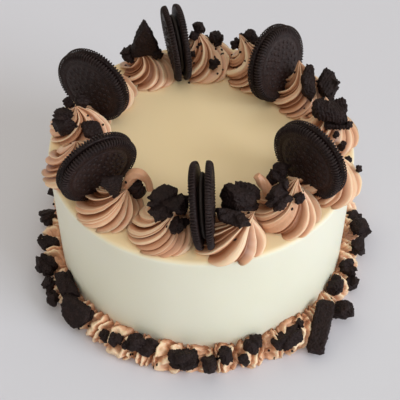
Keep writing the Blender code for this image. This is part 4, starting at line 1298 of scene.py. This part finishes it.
def open_crevice(dense, centre, chance):
    """Draw in a wavering band round a piece, where it is close to falling apart."""
    facing = any_way(chance)
    reach = max(facing.dot(vert.co - centre) for vert in dense.vertices)
    offset = reach * chance.uniform(-0.35, 0.35)
    width = reach * chance.uniform(0.16, 0.26)
    for vert in dense.vertices:
        waver = CREVICE_WAVER * reach * noise.noise(vert.co * CREVICE_WAVES)
        off = abs(facing.dot(vert.co - centre) - offset + waver)
        if off < width:
            vert.co -= (vert.co - centre) * CREVICE_DRAWN * (1.0 - off / width)


def raise_grain(dense, sizes, seed, share, ribs):
    """Raise lumps, crumbs and grain, and on some pieces the ribs pressed into the wafer."""
    dense.update()
    away = Vector((seed * 3.1, seed * 1.7, seed * 0.9))
    moves = []
    for vert in dense.vertices:
        lump = noise.noise(vert.co * LUMP_WAVES + away)
        near = noise.voronoi(vert.co * CRUMB_WAVES + away)[0]
        crumb = min(1.0, (near[1] - near[0]) * 1.6)
        grain = noise.noise(vert.co * GRAIN_WAVES + away)
        height = share * sizes.lumps * (0.7 * lump + 0.7 * crumb - 0.45) + sizes.grain * grain
        if ribs:
            height += RIB_RISE * math.sin(math.tau * vert.co.dot(Vector(ribs)) / RIB_PITCH + 2.5 * lump)
        moves.append(vert.co + vert.normal * height)
    for vert, spot in zip(dense.vertices, moves):
        vert.co = spot


def roughened(mesh_data, sizes, seed, share, breakage, ribs):
    """A dense copy of a plain broken piece, with its corners, breaks, crevices and grain."""
    blocks, breaks = breakage
    chance = random.Random(seed)
    centre = sum((vert.co for vert in mesh_data.verts), Vector()) / len(mesh_data.verts)
    add_blocks(mesh_data, centre, blocks, chance)
    dense = remeshed(mesh_data, sizes.step)
    for _ in range(breaks):
        break_flat(dense, centre, chance)
    for _ in range(min(blocks, MOST_CREVICES)):
        open_crevice(dense, centre, chance)
    raise_grain(dense, sizes, seed, share, ribs)
    for face in dense.polygons:
        face.use_smooth = True
    return dense


class CAKE_OT_lay_broken_cookie(bpy.types.Operator):
    """Lay the large broken pieces of cookie on the swirls and in the border"""

    bl_idname = "cake.lay_broken_cookie"
    bl_label = "Lay the broken cookie"

    def execute(self, context):
        """Roughen each broken piece where it lies."""
        sizes = context.scene.piece_sizes
        names = sorted(name for name in frame["nodes"] if "_chunk_" in name)
        if not names:
            raise RuntimeError("no broken pieces in the frame")
        for index, name in enumerate(names):
            plain = self.plain_piece(name)
            breakage = PLAIN_PIECES.get(name, COMMON_BREAKAGE)
            dense = roughened(plain, sizes, index + 1, LARGE_LUMPS, breakage, RIBBED_PIECES.get(name))
            dense.materials.clear()
            dense.materials.append(finish_for(BROKEN_FINISH))
            item = bpy.data.objects.new("broken_" + name.replace("_chunk", ""), dense)
            context.scene.collection.objects.link(item)
            place(item, "dark_cookie", name)
        return {"FINISHED"}

    @staticmethod
    def plain_piece(name):
        """The plain shape of a broken piece, from its solid."""
        mesh_data = bmesh.new()
        mesh_data.from_mesh(frame["nodes"][name].data)
        mesh_data.transform(frame["nodes"][name].matrix_world)
        bmesh.ops.remove_doubles(mesh_data, verts=mesh_data.verts, dist=MERGE)
        return mesh_data


def small_piece(angle, distance, height, size, chance):
    """An angular crumb of about one size each way, as a convex bmesh."""
    mesh_data = bmesh.new()
    length = size * chance.uniform(0.95, 1.15)
    depth = size * chance.uniform(0.75, 1.0)
    thick = size * chance.uniform(0.6, 0.85)
    spin = Matrix.Rotation(chance.uniform(0.0, math.tau), 3, "Z")
    spin = spin @ Matrix.Rotation(chance.uniform(-0.5, 0.5), 3, "X")
    spin = spin @ Matrix.Rotation(chance.uniform(-0.5, 0.5), 3, "Y")
    centre = polar(angle, distance, height)
    for step in range(6):
        turn = math.tau * (step + chance.uniform(-0.28, 0.28)) / 6.0
        reach = chance.uniform(0.8, 1.1)
        for side in (-1.0, 1.0):
            taper = chance.uniform(0.65, 0.95)
            spot = Vector((
                0.5 * length * reach * taper * math.cos(turn),
                0.5 * depth * reach * taper * math.sin(turn),
                side * 0.5 * thick * chance.uniform(0.7, 1.0),
            ))
            mesh_data.verts.new(centre + spin @ spot)
    bmesh.ops.convex_hull(mesh_data, input=list(mesh_data.verts))
    inside = [vert for vert in mesh_data.verts if not vert.link_faces]
    bmesh.ops.delete(mesh_data, geom=inside, context="VERTS")
    bmesh.ops.recalc_face_normals(mesh_data, faces=mesh_data.faces)
    return mesh_data


def joined_pieces(name, meshes, material):
    """One object from many small meshes."""
    mesh_data = bmesh.new()
    for mesh in meshes:
        mesh_data.from_mesh(mesh)
        bpy.data.meshes.remove(mesh)
    return new_piece(name, mesh_data, material)


def surfaces_of(context, *starts):
    """The surfaces of the pieces whose names start so, for something to fall on."""
    graph = context.evaluated_depsgraph_get()
    return [BVHTree.FromObject(item, graph) for item in context.scene.objects if item.name.startswith(starts)]


def back_pieces():
    """Small pieces round the hidden back of the border, in rows like those of FOOT_PIECES."""
    chance = random.Random(BACK_PIECE_SEED)
    rows = []
    for step in range(BACK_PIECE_COUNT):
        share = (step + chance.uniform(0.2, 0.8)) / BACK_PIECE_COUNT
        angle = BACK_PIECE_FROM + (BACK_PIECE_TO - BACK_PIECE_FROM) * share
        distance = chance.uniform(*BACK_PIECE_DISTANCE)
        height = chance.uniform(*BACK_PIECE_HEIGHT)
        rows.append((angle, distance, height, chance.uniform(*BACK_PIECE_SIZE)))
    return rows


class CAKE_OT_drop_small_pieces(bpy.types.Operator):
    """Drop the small broken pieces on the swirls and into the border"""

    bl_idname = "cake.drop_small_pieces"
    bl_label = "Drop the small pieces"

    def execute(self, context):
        """Make the small pieces of the top and of the foot, one object each."""
        sizes = context.scene.piece_sizes
        top = context.scene.cake_sizes.height
        chance = random.Random(SMALL_PIECE_SEED)
        grounds = surfaces_of(context, "piped")
        for name, pieces, base, ribbed in (
            ("small_pieces_top", TOP_PIECES, top, RIBBED_SMALL_PIECES),
            ("small_pieces_foot", FOOT_PIECES + back_pieces(), 0.0, {}),
        ):
            meshes = []
            for index, (angle, distance, height, size) in enumerate(pieces):
                plain = small_piece(angle, distance * MM, base + height * MM, size * MM, chance)
                seed = SMALL_SURFACE_SEED + index
                mesh = roughened(plain, sizes, seed, SMALL_LUMPS, SMALL_BREAKAGE, ribbed.get(index))
                self.settle(mesh, grounds)
                meshes.append(mesh)
            item = joined_pieces(name, meshes, finish_for(BROKEN_FINISH))
            place(item, "dark_cookie")
        return {"FINISHED"}

    @staticmethod
    def settle(mesh, grounds):
        """Let a piece that lies clear of the frosting down to it, and press it in a little."""
        gap = None
        for vert in list(mesh.vertices)[::5]:
            for ground in grounds:
                spot, _, _, away = ground.find_nearest(vert.co, SETTLE_REACH if gap is None else gap)
                if spot is not None:
                    gap = away
                    way = spot - vert.co
        if gap is not None and gap > SETTLE_GAP:
            mesh.transform(Matrix.Translation(way * (1.0 + SETTLE_PRESS / gap)))


# Curls and crumbs


def piped_curl_tree():
    """A curl of frosting: a star section swept along a path whose points carry its radius."""
    tree, given = new_shape_tree("Piped curl", [("Finish", "NodeSocketMaterial")])
    path = add_node(tree, "GeometryNodeMeshToCurve", {"Mesh": given["Geometry"]})
    smooth_path = add_node(tree, "GeometryNodeCurveSplineType", {
        "Curve": path.outputs[0]}, spline_type="CATMULL_ROM")
    fine_path = add_node(tree, "GeometryNodeResampleCurve", {
        "Curve": smooth_path.outputs[0], "Count": CURL_STEPS})
    thick = add_node(tree, "GeometryNodeInputNamedAttribute", {"Name": "thick"}, data_type="FLOAT").outputs[0]
    sized = add_node(tree, "GeometryNodeSetCurveRadius", {"Curve": fine_path.outputs[0], "Radius": thick})
    along = add_node(tree, "GeometryNodeSplineParameter").outputs["Factor"]
    tilt = add_node(tree, MATH, {0: along, 1: CURL_TURN}, operation="MULTIPLY").outputs[0]
    tilted = add_node(tree, "GeometryNodeSetCurveTilt", {"Curve": sized.outputs[0], "Tilt": tilt})
    star = add_node(tree, "GeometryNodeCurveStar", {
        "Points": CURL_POINTS, "Inner Radius": 0.68, "Outer Radius": 1.0, "Twist": 0.25})
    swept = add_node(tree, "GeometryNodeCurveToMesh", {
        "Curve": tilted.outputs[0], "Profile Curve": star.outputs["Curve"], "Scale": thick,
        "Fill Caps": True})
    rounded = add_node(tree, "GeometryNodeSubdivisionSurface", {"Mesh": swept.outputs[0], "Level": 1})
    # A middling groove value, so the finish paints a little shade on the curls and no highlight
    marked = add_node(tree, "GeometryNodeStoreNamedAttribute", {
        "Geometry": rounded.outputs[0], "Name": "groove", "Value": 0.3}, data_type="FLOAT", domain="POINT")
    end_tree(tree, marked.outputs[0], given["Finish"])
    return tree


class CAKE_OT_pipe_curls(bpy.types.Operator):
    """Pipe the curls of frosting that stand up among the swirls"""

    bl_idname = "cake.pipe_curls"
    bl_label = "Pipe the curls"

    def execute(self, context):
        """Sweep each curl along its row of points."""
        top = context.scene.cake_sizes.height
        tree = piped_curl_tree()
        for number, row in enumerate(CURL_ROWS, start=1):
            mesh = bpy.data.meshes.new("curl")
            points = [polar(angle, distance * MM, top + height * MM) for angle, distance, height, _ in row]
            mesh.from_pydata(points, [(index, index + 1) for index in range(len(points) - 1)], [])
            thick = mesh.attributes.new("thick", "FLOAT", "POINT")
            for index, point in enumerate(row):
                thick.data[index].value = point[3] * MM
            finish = finish_for(FROSTING_FINISH)
            item = run_tree(f"piped_curl_{number}", mesh, tree, {"Finish": finish})
            place(item, "chocolate_frosting")
        return {"FINISHED"}


def scattered_crumbs_tree():
    """Crumbs of uneven size and shape, one on each point."""
    tree, given = new_shape_tree("Scattered crumbs", [
        ("Size", "NodeSocketFloat"), ("Finish", "NodeSocketMaterial")])
    crumb = add_node(tree, "GeometryNodeMeshIcoSphere", {"Radius": 0.5, "Subdivisions": 2})
    # Up to nearly a full turn about each axis, in radians
    spin = add_node(tree, "FunctionNodeRandomValue", {
        "Min": (0.0, 0.0, 0.0), "Max": (6.28, 6.28, 6.28), "Seed": 3}, data_type="FLOAT_VECTOR")
    spin = spin.outputs["Value"]
    shape = add_node(tree, "FunctionNodeRandomValue", {
        "Min": (0.35, 0.3, 0.3), "Max": (1.0, 0.9, 0.7), "Seed": 5}, data_type="FLOAT_VECTOR")
    shape = shape.outputs["Value"]
    sized = add_node(tree, VECTOR_MATH, {0: shape, "Scale": given["Size"]}, operation="SCALE").outputs[0]
    spread = add_node(tree, "GeometryNodeInstanceOnPoints", {
        "Points": given["Geometry"], "Instance": crumb.outputs["Mesh"], "Rotation": spin, "Scale": sized})
    real = add_node(tree, "GeometryNodeRealizeInstances", {0: spread.outputs[0]})
    spot = add_node(tree, "GeometryNodeInputPosition").outputs[0]
    chip = add_node(tree, "ShaderNodeTexNoise", {"Vector": spot, "Scale": CHIP_WAVES, "Detail": 1.0})
    chip = chip.outputs["Color"]
    chip = add_node(tree, VECTOR_MATH, {0: chip, 1: NOISE_MIDDLE}, operation="SUBTRACT").outputs[0]
    chip = add_node(tree, VECTOR_MATH, {0: chip, "Scale": 0.8 * MM}, operation="SCALE").outputs[0]
    chipped = add_node(tree, "GeometryNodeSetPosition", {"Geometry": real.outputs[0], "Offset": chip})
    end_tree(tree, chipped.outputs[0], given["Finish"], smooth=False)
    return tree


class CAKE_OT_scatter_crumbs(bpy.types.Operator):
    """Scatter fine crumbs on the frosting"""

    bl_idname = "cake.scatter_crumbs"
    bl_label = "Scatter the crumbs"

    def execute(self, context):
        """Drop crumbs straight down on the icing and the frosting."""
        grounds = surfaces_of(context, "buttercream", "piped")
        edge = context.scene.cake_sizes.radius
        chance = random.Random(CRUMB_SEED)
        spots = []
        for angle, distance, spread, count in CRUMB_ROWS:
            for _ in range(count):
                start = polar(angle, distance * MM, CRUMB_FALL)
                start += polar(chance.uniform(0.0, 360.0), spread * MM * math.sqrt(chance.random()), 0.0)
                hits = [ground.ray_cast(start, Vector((0.0, 0.0, -1.0)))[0] for ground in grounds]
                hits = [hit for hit in hits if hit]
                if hits:
                    spot = max(hits, key=lambda hit: hit.z)
                    if abs(math.hypot(spot.x, spot.y) - edge) > EDGE_KEPT_CLEAR:
                        spots.append(spot)
        if not spots:
            raise RuntimeError("no crumb fell on the cake")
        mesh = bpy.data.meshes.new("crumbs")
        mesh.from_pydata(spots, [], [])
        item = run_tree("fine_crumbs", mesh, scattered_crumbs_tree(), {
            "Size": context.scene.piece_sizes.crumb, "Finish": finish_for(BROKEN_FINISH)})
        place(item, "dark_cookie")
        return {"FINISHED"}


# The stage


class CAKE_OT_set_stage(bpy.types.Operator):
    """Set a pale floor, soft light and the camera"""

    bl_idname = "cake.set_stage"
    bl_label = "Set the stage"

    def execute(self, context):
        """Make the floor, the light and the camera."""
        self.floor()
        self.lights(context.scene)
        self.camera(context.scene)
        return {"FINISHED"}

    @staticmethod
    def floor():
        """A plain pale floor, painted dull and a little cool."""
        mesh_data = bmesh.new()
        bmesh.ops.create_circle(mesh_data, cap_ends=True, segments=64, radius=FLOOR_RADIUS)
        for vert in mesh_data.verts:
            vert.co.z = -FLOOR_DROP
        material = new_finish("Pale painted table", linear("DADAE4"), 0.7)[0]
        item = new_piece("floor", mesh_data, material)

    @staticmethod
    def lights(scene):
        """A wide window light from the right and front, and soft light all round."""
        world = bpy.data.worlds.new("Studio")
        world.use_nodes = True
        back = world.node_tree.nodes["Background"]
        back.inputs["Color"].default_value = ROOM_COLOUR
        back.inputs["Strength"].default_value = ROOM_STRENGTH
        scene.world = world
        scene.view_settings.view_transform = "Standard"
        for name, angle, height, softness, strength, colour in LIGHT_ROWS:
            lamp = bpy.data.lights.new(name, "SUN")
            lamp.angle = math.radians(softness)
            lamp.energy = strength
            lamp.color = colour
            item = bpy.data.objects.new(name, lamp)
            rise = math.radians(height)
            item.location = polar(angle, math.cos(rise), math.sin(rise))
            item.rotation_euler = item.location.to_track_quat("Z", "Y").to_euler()
            scene.collection.objects.link(item)

    @staticmethod
    def camera(scene):
        """The camera looks down at the front of the cake."""
        lens = bpy.data.cameras.new("camera")
        lens.lens = LENS
        lens.sensor_width = SENSOR
        lens.shift_x, lens.shift_y = LENS_SHIFT
        item = bpy.data.objects.new("camera", lens)
        item.location = CAMERA_PLACE
        away = item.location - Vector(CAMERA_AIM)
        item.rotation_euler = away.to_track_quat("Z", "Y").to_euler()
        scene.collection.objects.link(item)
        scene.camera = item


class CAKE_PT_panel(bpy.types.Panel):
    """The steps of making the cake, in order"""

    bl_idname = "CAKE_PT_panel"
    bl_label = "Cookies and cream cake"
    bl_space_type = "VIEW_3D"
    bl_region_type = "UI"
    bl_category = "Cake"

    def draw(self, context):
        """List the sizes and the steps."""
        for group in GROUPS:
            box = self.layout.box()
            settings = getattr(context.scene, group)
            for name in settings.__annotations__:
                box.prop(settings, name)
        for step in STEPS:
            self.layout.operator(step.bl_idname)


GROUPS = {
    "cake_sizes": CakeSizes,
    "swirl_sizes": SwirlSizes,
    "cookie_sizes": CookieSizes,
    "piece_sizes": PieceSizes,
    "border_sizes": BorderSizes,
    "cake_colours": CakeColours,
}
STEPS = (
    CAKE_OT_ice_cake,
    CAKE_OT_pipe_swirls,
    CAKE_OT_pipe_border,
    CAKE_OT_stand_cookies,
    CAKE_OT_lay_broken_cookie,
    CAKE_OT_drop_small_pieces,
    CAKE_OT_pipe_curls,
    CAKE_OT_scatter_crumbs,
    CAKE_OT_set_stage,
)


def register():
    """Register every class and hang the settings on the scene."""
    for item in (*GROUPS.values(), *STEPS, CAKE_PT_panel):
        bpy.utils.register_class(item)
    for name, group in GROUPS.items():
        setattr(bpy.types.Scene, name, bpy.props.PointerProperty(type=group))


def unregister():
    """Take the settings off the scene and unregister every class."""
    for name in GROUPS:
        delattr(bpy.types.Scene, name)
    for item in reversed((*GROUPS.values(), *STEPS, CAKE_PT_panel)):
        bpy.utils.unregister_class(item)


def main():
    """Make the cake step by step."""
    register()
    bpy.ops.cake.ice_cake()
    bpy.ops.cake.pipe_swirls()
    bpy.ops.cake.pipe_border()
    bpy.ops.cake.stand_cookies()
    bpy.ops.cake.lay_broken_cookie()
    bpy.ops.cake.drop_small_pieces()
    bpy.ops.cake.pipe_curls()
    bpy.ops.cake.scatter_crumbs()
    bpy.ops.cake.set_stage()


if __name__ == "__main__":
    main()
